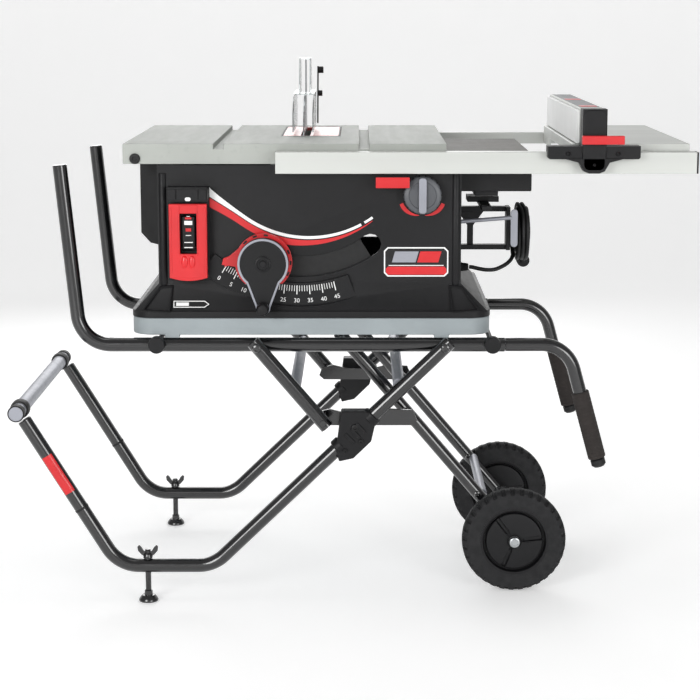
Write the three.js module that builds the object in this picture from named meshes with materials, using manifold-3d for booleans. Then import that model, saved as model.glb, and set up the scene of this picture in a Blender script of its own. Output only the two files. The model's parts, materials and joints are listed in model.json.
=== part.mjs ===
// Portable 10-inch table saw on a folding wheeled stand.
//
// Frame: +X to the operator's right, +Y from the operator towards the outfeed side, +Z up.
// The floor is z = 0. Lengths are millimetres. Every mesh is one physical piece.

import * as THREE from 'three';
import { mergeVertices } from 'three/addons/utils/BufferGeometryUtils.js';
import Module from 'manifold-3d';

const wasm = await Module();
wasm.setup();

// ---------------------------------------------------------------- driving dimensions
const GAP = 0.4; // air left between pieces that touch

const TABLE = { top: 876, x0: -444, x1: 164, y0: -235, y1: 337, apron: 38, plate: 10 };
const SLOT = { width: 20, depth: 10, xs: [-264, 9.5] }; // the two mitre slots
const INSERT = { x0: -154, x1: -38, y0: -20, y1: 280, thick: 7 };
const BLADE = { x: -111, y: 118, radius: 127, thick: 2.4, height: 75, bore: 7.94, teeth: 40 };
const ARBOR_Z = TABLE.top + BLADE.height - BLADE.radius;
const MOTOR = { y: 118, z: 720 };

const HOUSING = { x0: -380, x1: 193, y0: -235, y1: 284, z0: 549.6, z1: 836, wall: 5 };
const SKIRT = { x0: -432, x1: 250, y0: -262, y1: 312, edge: 562, peak: 612, corner: 42 };
const TRAY = { z0: 517, z1: 549, foot: 6 };
const TILT = { x: BLADE.x, z: TABLE.top }; // the bevel axis lies in the table's surface
const CRANK = { x: -180, z: 655, rim: 48, ring: 54, knobZ: 573, front: -284, back: -266 };
const SCALE = { radius: 306, front: -243.5 }; // the flat under the crank that carries the bevel scale
const CRANK_ARC = Math.hypot(CRANK.x - TILT.x, CRANK.z - TILT.z);

const RAIL = { x0: -156, x1: 628, y0: -275, y1: -237, z0: 823, z1: 863 };
const WING = { x0: 400, x1: 620 };
const BED = { x1: 330, y0: -200, y1: 250, z0: 845, z1: 853 };
const FENCE = { x0: 411, x1: 456, z0: 880, z1: 943, y0: -262, y1: 322 };

const TUBE = 13.5; // radius of the stand's main tubes
const STAND = { rail: 252, leg: 280, z: 497 }; // half spacings and the height of the side rails
const FOOT_PIVOT = { x: 162, z: STAND.z };
const STRUT_PIVOT = { x: -192, z: STAND.z };
const WHEEL = { x: 303, y: 202, radius: 101.5, width: 42 };
const WHEEL_PIVOT = { x: -33, z: STAND.z };
const WHEEL_LEG = { y: 160, radius: 12 };
const STRUT_LENGTH = 190.6;
const CORD = { radius: 4, pitch: 8.4, coilX: 324, coilY: -30, coilZ: 688, coilMean: 46 };

// ---------------------------------------------------------------- materials
const finish = (color, roughness, metalness = 0) =>
  new THREE.MeshStandardMaterial({ color, roughness, metalness });
const CAST = finish(0xc3c6c2, 0.45, 0.7);
const EXTRUDED = finish(0xd4d5d2, 0.4, 0.7);
const BLACK_PLASTIC = finish(0x2a2b2d, 0.6);
const GREY_PLASTIC = finish(0xa9b3b4, 0.55);
const DARK_GREY = finish(0x55585c, 0.45);
const RED = finish(0xe0242b, 0.4);
const CLEAR_RED = finish(0xe8b8b4, 0.3);
const CLEAR = finish(0xe6ecec, 0.1);
const WHITE = finish(0xf0f1f0, 0.5);
const TUBE_BLACK = finish(0x17181b, 0.3, 0.3);
const FOAM = finish(0x33302f, 0.95);
const TYRE_BLACK = finish(0x1d1d20, 0.9);
const STEEL = finish(0xa8abad, 0.3, 0.9);
const SILVER_PAINT = finish(0x9d9ea6, 0.4, 0.5);
const RUBBER = finish(0x1b1b1c, 0.8);

// ---------------------------------------------------------------- shape helpers
/** A closed solid of manifold-3d made from a three.js geometry. */
function solid(geometry) {
  const bare = geometry.clone();
  for (const key of Object.keys(bare.attributes)) if (key !== 'position') bare.deleteAttribute(key);
  const merged = mergeVertices(bare, 1e-4);
  return new wasm.Manifold(new wasm.Mesh({
    numProp: 3,
    vertProperties: new Float32Array(merged.attributes.position.array),
    triVerts: new Uint32Array(merged.index.array),
  }));
}

/** A three.js geometry made from a solid of manifold-3d. */
function geometryOf(shape) {
  const mesh = shape.getMesh();
  const geometry = new THREE.BufferGeometry();
  geometry.setAttribute('position', new THREE.BufferAttribute(mesh.vertProperties.slice(), 3));
  geometry.setIndex(new THREE.BufferAttribute(mesh.triVerts.slice(), 1));
  geometry.computeVertexNormals();
  return geometry;
}

const join = (...parts) => parts.map(solid).reduce((a, b) => a.add(b));
const cut = (body, ...tools) => tools.map(solid).reduce((a, b) => a.subtract(b), body);

/** A box from its low and high corners. */
function box(x0, x1, y0, y1, z0, z1) {
  const geometry = new THREE.BoxGeometry(x1 - x0, y1 - y0, z1 - z0);
  return geometry.translate((x0 + x1) / 2, (y0 + y1) / 2, (z0 + z1) / 2);
}

/** A box whose top is a different rectangle from its bottom. */
function frustum([x0, x1, y0, y1, z0], [X0, X1, Y0, Y1, z1]) {
  const geometry = new THREE.BoxGeometry(2, 2, 2);
  const p = geometry.attributes.position;
  for (let i = 0; i < p.count; i += 1) {
    const up = p.getZ(i) > 0;
    const x = p.getX(i) > 0 ? (up ? X1 : x1) : (up ? X0 : x0);
    const y = p.getY(i) > 0 ? (up ? Y1 : y1) : (up ? Y0 : y0);
    p.setXYZ(i, x, y, up ? z1 : z0);
  }
  return geometry;
}

/** A cylinder along 'x', 'y' or 'z' between two places on that axis. */
function rod(axis, radius, from, to, a, b, sides = 20) {
  const geometry = new THREE.CylinderGeometry(radius, radius, to - from, sides);
  const mid = (from + to) / 2;
  if (axis === 'x') return geometry.rotateZ(-Math.PI / 2).translate(mid, a, b);
  if (axis === 'y') return geometry.translate(a, mid, b);
  return geometry.rotateX(Math.PI / 2).translate(a, b, mid);
}

/** An outline in the XZ plane, given thickness from y0 to y1. */
function plateXZ(shape, y0, y1, curveSegments = 12) {
  const geometry = new THREE.ExtrudeGeometry(shape, { depth: y1 - y0, bevelEnabled: false, curveSegments });
  return geometry.rotateX(Math.PI / 2).translate(0, y1, 0);
}

/** An outline in the XY plane, given height from z0 to z1. */
function plateXY(shape, z0, z1, curveSegments = 5) {
  const geometry = new THREE.ExtrudeGeometry(shape, { depth: z1 - z0, bevelEnabled: false, curveSegments });
  return geometry.translate(0, 0, z0);
}

/** An outline in the YZ plane, given thickness from x0 to x1. */
function plateYZ(shape, x0, x1, curveSegments = 12) {
  const geometry = new THREE.ExtrudeGeometry(shape, { depth: x1 - x0, bevelEnabled: false, curveSegments });
  return geometry.rotateX(Math.PI / 2).rotateZ(Math.PI / 2).translate(x0, 0, 0);
}

const outline = (points) => new THREE.Shape(points.map(([x, y]) => new THREE.Vector2(x, y)));

function roundedRectangle(x0, x1, y0, y1, r) {
  const s = new THREE.Shape();
  s.moveTo(x0 + r, y0);
  s.lineTo(x1 - r, y0);
  s.absarc(x1 - r, y0 + r, r, -Math.PI / 2, 0);
  s.lineTo(x1, y1 - r);
  s.absarc(x1 - r, y1 - r, r, 0, Math.PI / 2);
  s.lineTo(x0 + r, y1);
  s.absarc(x0 + r, y1 - r, r, Math.PI / 2, Math.PI);
  s.lineTo(x0, y0 + r);
  s.absarc(x0 + r, y0 + r, r, Math.PI, 1.5 * Math.PI);
  return s;
}

/** A bent pipe's centreline in one upright plane: straight runs joined by arcs. */
class PipeRun extends THREE.Curve {
  constructor(corners, bends, y) {
    super();
    const flat = [new THREE.Vector2(...corners[0])];
    for (let i = 1; i < corners.length - 1; i += 1) {
      const [a, b, c] = [corners[i - 1], corners[i], corners[i + 1]].map((p) => new THREE.Vector2(...p));
      const back = a.clone().sub(b).normalize();
      const on = c.clone().sub(b).normalize();
      const half = Math.acos(THREE.MathUtils.clamp(back.dot(on), -1, 1)) / 2;
      const reach = bends[i - 1] / Math.tan(half);
      const centre = b.clone().addScaledVector(back.clone().add(on).normalize(),
        bends[i - 1] / Math.sin(half));
      const from = b.clone().addScaledVector(back, reach).sub(centre);
      const turn = Math.sign(from.cross(on)) * (Math.PI - 2 * half);
      const steps = Math.max(2, Math.round(Math.abs(turn) / 0.24));
      for (let k = 0; k <= steps; k += 1) {
        flat.push(from.clone().rotateAround(new THREE.Vector2(), (turn * k) / steps).add(centre));
      }
    }
    flat.push(new THREE.Vector2(...corners[corners.length - 1]));
    this.stations = flat.map((p) => new THREE.Vector3(p.x, y, p.y));
  }

  get steps() { return this.stations.length - 1; }

  getSpacedPoints() { return this.stations; }

  computeFrenetFrames() {
    const s = this.stations;
    const tangents = s.map((p, i) => s[Math.min(i + 1, s.length - 1)].clone().sub(p).normalize()
      .add(p.clone().sub(s[Math.max(i - 1, 0)]).normalize()).normalize());
    const normals = s.map(() => new THREE.Vector3(0, 1, 0));
    const binormals = tangents.map((t, i) => t.clone().cross(normals[i]));
    return { tangents, normals, binormals };
  }
}

function circle(radius, sides) {
  const points = [];
  for (let i = 0; i < sides; i += 1) {
    const a = (2 * Math.PI * i) / sides;
    points.push(new THREE.Vector2(radius * Math.cos(a), radius * Math.sin(a)));
  }
  return new THREE.Shape(points);
}

/** A round pipe along corners (x, z) in the plane y, with one bend radius for each inner corner. */
function pipe(corners, bends, y, radius, sides = 14) {
  const run = new PipeRun(corners, bends, y);
  return new THREE.ExtrudeGeometry(circle(radius, sides), { steps: run.steps, bevelEnabled: false,
    extrudePath: run });
}

/** A solid of revolution about an axis along Y: the profile's points are (radius, y). */
function turnedY(profile, x, z, sides = 28) {
  const geometry = new THREE.LatheGeometry(profile.map(([r, y]) => new THREE.Vector2(r, y)), sides);
  return geometry.translate(x, 0, z);
}

/** A solid of revolution about an axis along X: the profile's points are (radius, x). */
function turnedX(profile, y, z, sides = 28) {
  const geometry = new THREE.LatheGeometry(profile.map(([r, x]) => new THREE.Vector2(r, x)), sides);
  return geometry.rotateZ(-Math.PI / 2).translate(0, y, z);
}

const saw = new THREE.Group();

function add(name, shape, material) {
  const geometry = shape.isBufferGeometry ? shape : geometryOf(shape);
  const mesh = new THREE.Mesh(geometry, material);
  mesh.name = name;
  saw.add(mesh);
  return mesh;
}

const bothSides = [['front', -1], ['rear', 1]];

// ---------------------------------------------------------------- table and throat insert
function tableTop() {
  const t = TABLE;
  const shell = solid(box(t.x0, t.x1, t.y0, t.y1, t.top - t.apron, t.top));
  const hollow = box(t.x0 + 8, t.x1 - 8, t.y0 + 8, t.y1 - 8, t.top - t.apron - 1, t.top - t.plate);
  const ribs = SLOT.xs.map((x) => box(x - 18, x + 18, t.y0 + 4, t.y1 - 4, t.top - 20, t.top - t.plate + 1));
  const grooves = SLOT.xs.map((x) => box(x - SLOT.width / 2, x + SLOT.width / 2, t.y0 - 1, t.y1 + 1,
    t.top - SLOT.depth, t.top + 1));
  const throat = box(INSERT.x0 - GAP, INSERT.x1 + GAP, INSERT.y0 - GAP, INSERT.y1 + GAP, t.top - 30,
    t.top + 1);
  const shelf = t.top - INSERT.thick - GAP;
  const ledge = [box(INSERT.x0 - 8, INSERT.x0 + 6, INSERT.y0 - 4, INSERT.y1 + 4, t.top - 18, shelf),
    box(INSERT.x1 - 6, INSERT.x1 + 8, INSERT.y0 - 4, INSERT.y1 + 4, t.top - 18, shelf)];
  let body = cut(shell, hollow);
  ribs.forEach((rib) => { body = body.add(solid(rib)); });
  body = cut(body, ...grooves, throat);
  ledge.forEach((strip) => { body = body.add(solid(strip)); });
  return body;
}

function throatInsert() {
  const i = INSERT;
  const plate = plateXY(roundedRectangle(i.x0, i.x1, i.y0, i.y1, 10), TABLE.top - i.thick, TABLE.top);
  const kerf = box(BLADE.x - 5, BLADE.x + 13, -8, 262, TABLE.top - 20, TABLE.top + 1);
  return cut(solid(plate), kerf);
}

add('table_top', tableTop(), CAST);
add('throat_insert', throatInsert(), CLEAR_RED);

// ---------------------------------------------------------------- extension: rails, wing and slide bed
function frontRail() {
  const r = RAIL;
  const bar = solid(box(r.x0, r.x1, r.y0, r.y1, r.z0, r.z1));
  return cut(bar, box(r.x0 + 6, r.x1 - 6, r.y0 + 4, r.y1 + 1, r.z0 + 5, r.z1 - 5));
}

add('front_rail', frontRail(), EXTRUDED);
add('front_rail_cap', box(RAIL.x1 + GAP, RAIL.x1 + 3, RAIL.y0, RAIL.y1, RAIL.z0, RAIL.z1), BLACK_PLASTIC);
add('rear_rail', box(-120, WING.x1, TABLE.y1 + 2, TABLE.y1 + 26, 836, 860), EXTRUDED);

function wing() {
  const t = TABLE;
  const shell = solid(box(WING.x0, WING.x1, t.y0, t.y1, t.top - t.apron, t.top));
  return cut(shell, box(WING.x0 + 8, WING.x1 - 8, t.y0 + 8, t.y1 - 8, t.top - t.apron - 1, t.top - 8),
    box(WING.x0 - 1, WING.x0 + 9, BED.y0 - 4, BED.y1 + 4, t.top - t.apron - 1, BED.z1 + 3));
}

add('extension_wing', wing(), CAST);

// The bed is bolted to the table's right edge, and the wing's open left side passes over it.
add('slide_bed', box(TABLE.x1 + GAP, BED.x1, BED.y0, BED.y1, BED.z0, BED.z1), SILVER_PAINT);

// ---------------------------------------------------------------- rip fence
add('fence_beam', box(FENCE.x0, FENCE.x1, FENCE.y0, FENCE.y1, FENCE.z0, FENCE.z1), EXTRUDED);
add('fence_face', box(FENCE.x0 - 6, FENCE.x0 - GAP, FENCE.y0 + 8, FENCE.y1, FENCE.z0 - 2, FENCE.z1 - 4),
  WHITE);

/** The cast head: an upright block behind the lever, a lug below and two arms that bear on the rail. */
function fenceHead() {
  const block = box(FENCE.x0, FENCE.x1, -303, FENCE.y0 - GAP, RAIL.z1 + 1, FENCE.z1 + 1);
  const arms = plateXZ(roundedRectangle(348, 519, 852, 876, 5), -300, RAIL.y0 - 0.8);
  const top = box(348, 519, -300, -262, RAIL.z1 + 1, 876);
  const lug = plateXZ(outline([[378, 853], [405, 846], [414, 830], [424, 826], [443, 826], [453, 830],
    [462, 846],
    [489, 853]]), -304, RAIL.y0 - 0.8);
  return join(block, arms, top, lug);
}

add('fence_head', fenceHead(), BLACK_PLASTIC);
add('fence_lever', box(409, 487, -318, -304.5, 880, 896), RED);

// ---------------------------------------------------------------- housing and base
/** The crank's curved slot: an arc about the bevel axis with round ends. */
function arcSlot(radius, halfWidth, from, to, y0, y1) {
  const at = (r, a) => [TILT.x + r * Math.sin(a), TILT.z - r * Math.cos(a)];
  const points = [];
  const steps = 14;
  for (let i = 0; i <= steps; i += 1) points.push(at(radius + halfWidth, from + ((to - from) * i) / steps));
  for (const [end, sign] of [[to, 1], [from, -1]]) {
    const [cx, cz] = at(radius, end);
    for (let k = 1; k < 6; k += 1) {
      const a = end - Math.PI / 2 + (sign > 0 ? 0 : Math.PI) + (k * Math.PI) / 6;
      points.push([cx + halfWidth * Math.cos(a), cz + halfWidth * Math.sin(a)]);
    }
    if (sign > 0) {
      for (let i = steps; i >= 0; i -= 1) points.push(at(radius - halfWidth,
        from + ((to - from) * i) / steps));
    }
  }
  return plateXZ(outline(points), y0, y1);
}

function housing() {
  const h = HOUSING;
  const s = SKIRT;
  const w = h.wall;
  const outer = solid(box(h.x0, h.x1, h.y0, h.y1, s.edge, h.z1))
    .add(solid(frustum([s.x0 + 6, s.x1 - 6, s.y0 + 6, s.y1 - 6, s.edge - 1], [h.x0, h.x1, h.y0, h.y1,
      s.peak])))
    .add(solid(plateXY(roundedRectangle(s.x0, s.x1, s.y0, s.y1, s.corner), h.z0, s.edge)))
    .add(solid(plateXZ(outline([[-428, 692], [-428, h.z1], [h.x0 + 2, h.z1], [h.x0 + 2, 664], [-410,
      672]]), -90, 190)));
  const inner = [box(h.x0 + w, h.x1 - w, h.y0 + w, h.y1 - w, h.z0 - 1, h.z1 + 1),
    frustum([s.x0 + 14, s.x1 - 14, s.y0 + 14, s.y1 - 14, h.z0 - 1], [h.x0 + w, h.x1 - w, h.y0 + w,
      h.y1 - w, s.peak - 4])];
  const slot = arcSlot(CRANK_ARC, 20, THREE.MathUtils.degToRad(-20), THREE.MathUtils.degToRad(35),
    h.y0 - 5, h.y0 + w + 5);
  const rearWindow = box(-300, 100, h.y1 - w - 3, h.y1 + 3, 640, 790);
  const scaleFace = rod('y', SCALE.radius, -300, SCALE.front, TILT.x, TILT.z, 64);
  return cut(outer, ...inner, slot, rearWindow, scaleFace);
}

add('housing', housing(), BLACK_PLASTIC);

function baseTray() {
  const s = SKIRT;
  const rim = solid(plateXY(roundedRectangle(s.x0 + 1, s.x1 - 1, s.y0 + 1, s.y1 - 1, s.corner), TRAY.z0,
    TRAY.z1));
  const hollow = plateXY(roundedRectangle(s.x0 + 8, s.x1 - 8, s.y0 + 8, s.y1 - 8, s.corner - 8),
    TRAY.z0 + 6, TRAY.z1 + 1);
  let body = cut(rim, hollow);
  for (const x of [-354, 156]) {
    for (const side of [-1, 1]) {
      const y = side * STAND.rail;
      body = body.add(solid(box(x - 14, x + 14, y - 9, y + 9, TRAY.z0 - TRAY.foot, TRAY.z0 + 1)));
    }
  }
  return body;
}

add('base_tray', baseTray(), GREY_PLASTIC);

// ---------------------------------------------------------------- front controls
function switchBox() {
  const front = HOUSING.y0;
  const plate = solid(box(-360, -282, front - 9, front - GAP, 620, 797));
  const recess = box(-334, -306, front - 10, front - 4, 676, 746);
  return cut(plate, recess).add(solid(box(-359, -283, front - 30, front - 8, 770, 797)));
}

function stopPaddle() {
  const y1 = HOUSING.y0 - 20;
  const face = solid(box(-356, -285, y1 - 14, y1, 626, 766));
  return cut(face, box(-336, -304, y1 - 20, y1 + 5, 672, 748));
}

add('switch_box', switchBox(), BLACK_PLASTIC);
add('stop_paddle', stopPaddle(), RED);
add('start_toggle', box(-332, -308, HOUSING.y0 - 27, HOUSING.y0 - 9.5, 680, 742), BLACK_PLASTIC);
add('fine_tilt_knob', join(rod('y', 36, -262, HOUSING.y0 - GAP, 119, 781, 28), box(112, 126, -268, -261,
  747, 815)), DARK_GREY);
add('extension_lock_lever', join(box(31, 94, -283, -277, 797, 817), rod('y', 6, -278, HOUSING.y0 - GAP,
  38, 807, 14)), RED);

// ---------------------------------------------------------------- crank, tilt ring and drive
/** The crank: a disc that runs down into a handle, on its own shaft. */
function crank() {
  const s = new THREE.Shape();
  const half = THREE.MathUtils.degToRad(40);
  s.absarc(CRANK.x, CRANK.z, CRANK.rim, -Math.PI / 2 + half, 1.5 * Math.PI - half);
  s.lineTo(CRANK.x - 14, CRANK.knobZ);
  s.absarc(CRANK.x, CRANK.knobZ, 14, Math.PI, 2 * Math.PI);
  return join(plateXZ(s, CRANK.front, CRANK.back, 14), rod('y', 8, CRANK.back - 1, -196, CRANK.x, CRANK.z));
}

/** The bevel lock: a flat ring behind the crank with a pointer to its left. */
function tiltRing() {
  const s = new THREE.Shape();
  s.absarc(CRANK.x, CRANK.z, CRANK.ring, -Math.PI / 2 + 0.7, Math.PI - 0.32);
  s.lineTo(CRANK.x - 76, CRANK.z + 7);
  s.lineTo(CRANK.x - 79, CRANK.z - 5);
  s.absarc(CRANK.x, CRANK.z, CRANK.ring, Math.PI + 0.16, 1.5 * Math.PI - 0.7);
  return plateXZ(s, -256, -247.5, 12);
}

add('elevation_crank', crank(), DARK_GREY);
add('crank_grip', turnedY([[0, -320], [9, -320], [12, -314], [12, -294], [9, CRANK.front - GAP], [0,
  CRANK.front - GAP]],
  CRANK.x, CRANK.knobZ, 16), BLACK_PLASTIC);
add('tilt_lock_ring', cut(solid(tiltRing()), rod('y', 8.4, -270, -230, CRANK.x, CRANK.z)), RED);

/** The trunnion that tilts: a front plate that carries the crank shaft and a long web beside the blade. */
function trunnion() {
  const edge = [[-232, 700], [-232, 640], [-200, 610], [-150, 610], [-118, 660], [-118, 850], [-160, 850]];
  const web = box(-160, -150, -200, 240, 610, 850);
  return cut(join(plateXZ(outline(edge), -222, -196.4), web), rod('y', 8.4, -240, -180, CRANK.x, CRANK.z),
    box(-170, -140, MOTOR.y - 11, MOTOR.y + 11, MOTOR.z - 95, MOTOR.z + 12));
}

add('trunnion', trunnion(), CAST);
add('motor', join(rod('x', 46, -300, -166, MOTOR.y, MOTOR.z, 24), rod('x', 10, -170, -149.4, MOTOR.y,
  MOTOR.z, 12)), DARK_GREY);

/** The slide that carries the arbor, with the riving knife's clamp on its rear end. */
function arborCarriage() {
  const body = join(box(-149, -128, 80, 160, 700, 850), box(-149, -128, 150, 272, 800, 838), box(-149,
    -98, 250, 272, 800, 838));
  return cut(body, box(-113, -109, 240, 264, 790, 845));
}

add('arbor_carriage', arborCarriage(), CAST);

function arbor() {
  const shaft = rod('x', BLADE.bore - 0.4, -127.6, -86, BLADE.y, ARBOR_Z, 16);
  const flange = rod('x', 20, -121, BLADE.x - BLADE.thick / 2 - GAP, BLADE.y, ARBOR_Z, 20);
  const nut = rod('x', 18, BLADE.x + BLADE.thick / 2 + GAP, -98, BLADE.y, ARBOR_Z, 6);
  return join(shaft, flange, nut);
}

function blade() {
  const shape = new THREE.Shape();
  for (let i = 0; i < BLADE.teeth; i += 1) {
    const a = (2 * Math.PI * i) / BLADE.teeth;
    const tooth = [[0, BLADE.radius], [0.055, BLADE.radius - 2], [0.085, BLADE.radius - 9]];
    tooth.forEach(([da, r], k) => {
      const p = [r * Math.cos(a + da), r * Math.sin(a + da)];
      if (i === 0 && k === 0) shape.moveTo(...p);
      else shape.lineTo(...p);
    });
  }
  const hole = new THREE.Path();
  hole.absarc(0, 0, BLADE.bore, 0, 2 * Math.PI, true);
  shape.holes.push(hole);
  const half = BLADE.thick / 2;
  return plateYZ(shape, BLADE.x - half, BLADE.x + half, 8).translate(0, BLADE.y, ARBOR_Z);
}

add('arbor', arbor(), STEEL);
add('blade', blade(), STEEL);

/** The riving knife follows the blade's back edge and carries the guard. */
function rivingKnife() {
  const s = new THREE.Shape();
  const r = BLADE.radius + 6;
  s.absarc(BLADE.y, ARBOR_Z, r, THREE.MathUtils.degToRad(-14), THREE.MathUtils.degToRad(62));
  s.lineTo(200, 1020);
  s.lineTo(258, 1020);
  s.lineTo(262, 800);
  return plateYZ(s, BLADE.x - 1, BLADE.x + 1, 10);
}

add('riving_knife', rivingKnife(), STEEL);

/** Clear shields on both sides of the blade, joined over the top by two bridges. */
function guard() {
  const side = outline([[-28, 884], [-28, 920], [40, 956], [235, 956], [235, 884]]);
  const upper = outline([[120, 955], [150, 1024], [222, 1024], [235, 955]]);
  const low = [-21, 18.5].map((x) => plateYZ(side, BLADE.x + x, BLADE.x + x + 2.5));
  const high = [-12, 9.5].map((x) => plateYZ(upper, BLADE.x + x, BLADE.x + x + 2.5));
  const bridges = [box(BLADE.x - 21, BLADE.x + 21, 60, 104, 953.5, 956.5), box(BLADE.x - 21,
    BLADE.x - 9.5, 120, 235, 953.5, 956.5),
    box(BLADE.x + 9.5, BLADE.x + 21, 120, 235, 953.5, 956.5), box(BLADE.x - 12, BLADE.x + 12, 152, 190,
      1022, 1024.5)];
  return join(...low, ...high, ...bridges);
}

add('blade_guard', guard(), CLEAR);

function pawls() {
  const arm = plateYZ(outline([[196, 890], [206, 888], [246, 1000], [236, 1006]]), BLADE.x + 23,
    BLADE.x + 26);
  const studs = [rod('x', 7, BLADE.x + 25, BLADE.x + 36, 238, 998, 12), rod('x', 6, BLADE.x + 25,
    BLADE.x + 34, 222, 950, 12)];
  return join(arm, ...studs);
}

add('kickback_pawls', pawls(), RUBBER);

// ---------------------------------------------------------------- right side: power module, store, cord
add('power_module', join(box(HOUSING.x1 + GAP, 331, -165, 60, 780, 814), box(222, 268, -150, 20, 770,
  783)), BLACK_PLASTIC);

/** The rack on the right wall: a backplate, two arms and an upright peg that the cord hangs on. */
function storageRack() {
  const x = HOUSING.x1 + GAP;
  const plate = box(x, x + 6, -110, 50, 640, 750);
  const topArm = box(x, 300, -40, -20, 728, 738);
  const foot = box(x, 300, -40, -20, 652, 662);
  const web = plateXZ(outline([[x + 2, 730], [x + 56, 730], [x + 34, 700], [x + 34, 658], [x + 22, 658],
    [x + 22, 700]]), -34, -26);
  const peg = rod('x', 22, 296, 340, CORD.coilY, CORD.coilZ, 16);
  const head = box(292, 300, -52, -8, 652, 738);
  return join(plate, topArm, foot, web, head, peg);
}

add('storage_rack', storageRack(), BLACK_PLASTIC);

/** The mitre gauge parked on the rack, its bar along Y. */
function mitreGauge() {
  const bar = box(236, 255, -160, 120, 742, 751);
  const head = plateXZ(outline([[214, 749], [276, 749], [276, 760], [214, 760]]), -60, 0);
  return join(bar, head);
}

add('mitre_gauge', mitreGauge(), BLACK_PLASTIC);

const GLAND = { y: -75, z: 622 };
add('cord_gland', turnedX([[0, HOUSING.x1 + GAP], [10, HOUSING.x1 + GAP], [10, 200], [6.5, 216], [0,
  216]], GLAND.y, GLAND.z, 16), RUBBER);

// The lead's route from the gland, down in a sag and up beside the coil.
const route = (points) => new THREE.CatmullRomCurve3(points.map((p) => new THREE.Vector3(...p)));
const flex = (points, steps) => new THREE.ExtrudeGeometry(circle(CORD.radius, 8),
  { steps, bevelEnabled: false, extrudePath: route(points) });
const LEAD = [[217.6, GLAND.y, GLAND.z], [224, -75, 621.4], [236, -75, 618.6], [252, -74.6, 616], [270,
  -72, 616.8],
  [289, -63, 624], [301, -51, 632], [306.3, -38, 639.6], [307, -26.5, 646.4], [307, -11.2, 655.2]];
add('cord_lead', flex(LEAD, 12), RUBBER);

/** The outer shape of the coil: a ring of square section round the rack's peg. */
function cordCoil() {
  const half = 1.5 * CORD.pitch;
  const [inner, outer] = [CORD.coilMean - half, CORD.coilMean + half];
  const section = [[inner, -half], [outer, -half], [outer, half], [inner, half], [inner, -half]];
  return turnedX(section.map(([r, x]) => [r, CORD.coilX + x]), CORD.coilY, CORD.coilZ, 32);
}

add('cord_coil', cordCoil(), RUBBER);

/** The plug with the short tail that leads down to it from the coil. */
function cordPlug() {
  const tailX = CORD.coilX + CORD.pitch;
  const tail = flex([[tailX, 1, 629], [tailX, 8, 625.6], [tailX, 17, 622.5]], 3);
  const body = rod('y', 13, 15, 52, tailX, 622.5, 14);
  const blades = [-6, 6].map((x) => box(tailX + x - 0.8, tailX + x + 0.8, 51, 69, 619, 626));
  return join(tail, body, ...blades);
}

add('cord_plug', cordPlug(), RUBBER);

// ---------------------------------------------------------------- stand: side rails, handles, crossbars
const UPRIGHT = { x: -560, z: 838, corner: -528 };
const HANDLE = { joint: 277, corner: 396, end: [457, 276], cap: [462.5, 256] };
const MOUNTS = [['left', -382], ['right', 252]];

for (const [side, sign] of bothSides) {
  const y = sign * STAND.rail;
  const rail = solid(pipe([[UPRIGHT.x, UPRIGHT.z], [UPRIGHT.corner, STAND.z], [HANDLE.joint, STAND.z]],
    [62], y, TUBE));
  const bores = MOUNTS.map(([, x]) => rod('y', 5.4, y - 20, y + 20, x, 500.5, 12));
  const [out, inner] = [sign * 296, sign * 146];
  const pins = [FOOT_PIVOT, STRUT_PIVOT].map((p) => rod('y', 7, Math.min(y, out), Math.max(y, out), p.x,
    p.z, 14));
  pins.push(rod('y', 7, Math.min(y, inner), Math.max(y, inner), WHEEL_PIVOT.x, WHEEL_PIVOT.z, 14));
  add(`side_rail_${side}`, pins.reduce((body, pin) => body.add(solid(pin)), cut(rail, ...bores)), TUBE_BLACK);
  add(`handle_tube_${side}`, pipe([[HANDLE.joint + GAP, STAND.z], [HANDLE.corner, STAND.z], HANDLE.end],
    [64], y, 12.8), TUBE_BLACK);
  const slope = Math.atan2(STAND.z - HANDLE.end[1], HANDLE.end[0] - HANDLE.corner);
  const grip = new THREE.LatheGeometry([[13.2, 0], [17, 0], [17, 132], [13.2, 132], [13.2,
    0]].map((p) => new THREE.Vector2(...p)), 16);
  grip.rotateX(-Math.PI / 2).rotateY(slope + Math.PI / 2 - Math.PI);
  const [ex, ez] = HANDLE.end;
  const top = new THREE.Vector3(Math.cos(slope), 0,
    -Math.sin(slope)).multiplyScalar(-134).add(new THREE.Vector3(ex, y, ez));
  grip.translate(top.x, top.y, top.z);
  add(`handle_grip_${side}`, grip, FOAM);
}

for (const [side, x] of MOUNTS) {
  const out = STAND.rail + TUBE + 1;
  add(`mount_rod_${side}`, turnedY([[0, -out - 20], [15, -out - 20], [16, -out - 17], [16, -out], [5,
    -out], [5, out], [16, out],
    [16, out + 17], [15, out + 20], [0, out + 20]], x, 500.5, 20), BLACK_PLASTIC);
}

// ---------------------------------------------------------------- stand: foot legs
const FOOT = { bend: [-280, 70.5], toe: [-462, 70.5], end: [-636, 357], x: -406 };
const legSlope = Math.atan2(FOOT_PIVOT.z - FOOT.bend[1], FOOT_PIVOT.x - FOOT.bend[0]);
const legTop = [FOOT_PIVOT.x + 14 * Math.cos(legSlope), FOOT_PIVOT.z + 14 * Math.sin(legSlope)];

const CLAMP = [[-44, 300], [-38, 279], [-11, 285], [23, 318], [30, 349], [16, 376], [-34, 376]];

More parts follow.
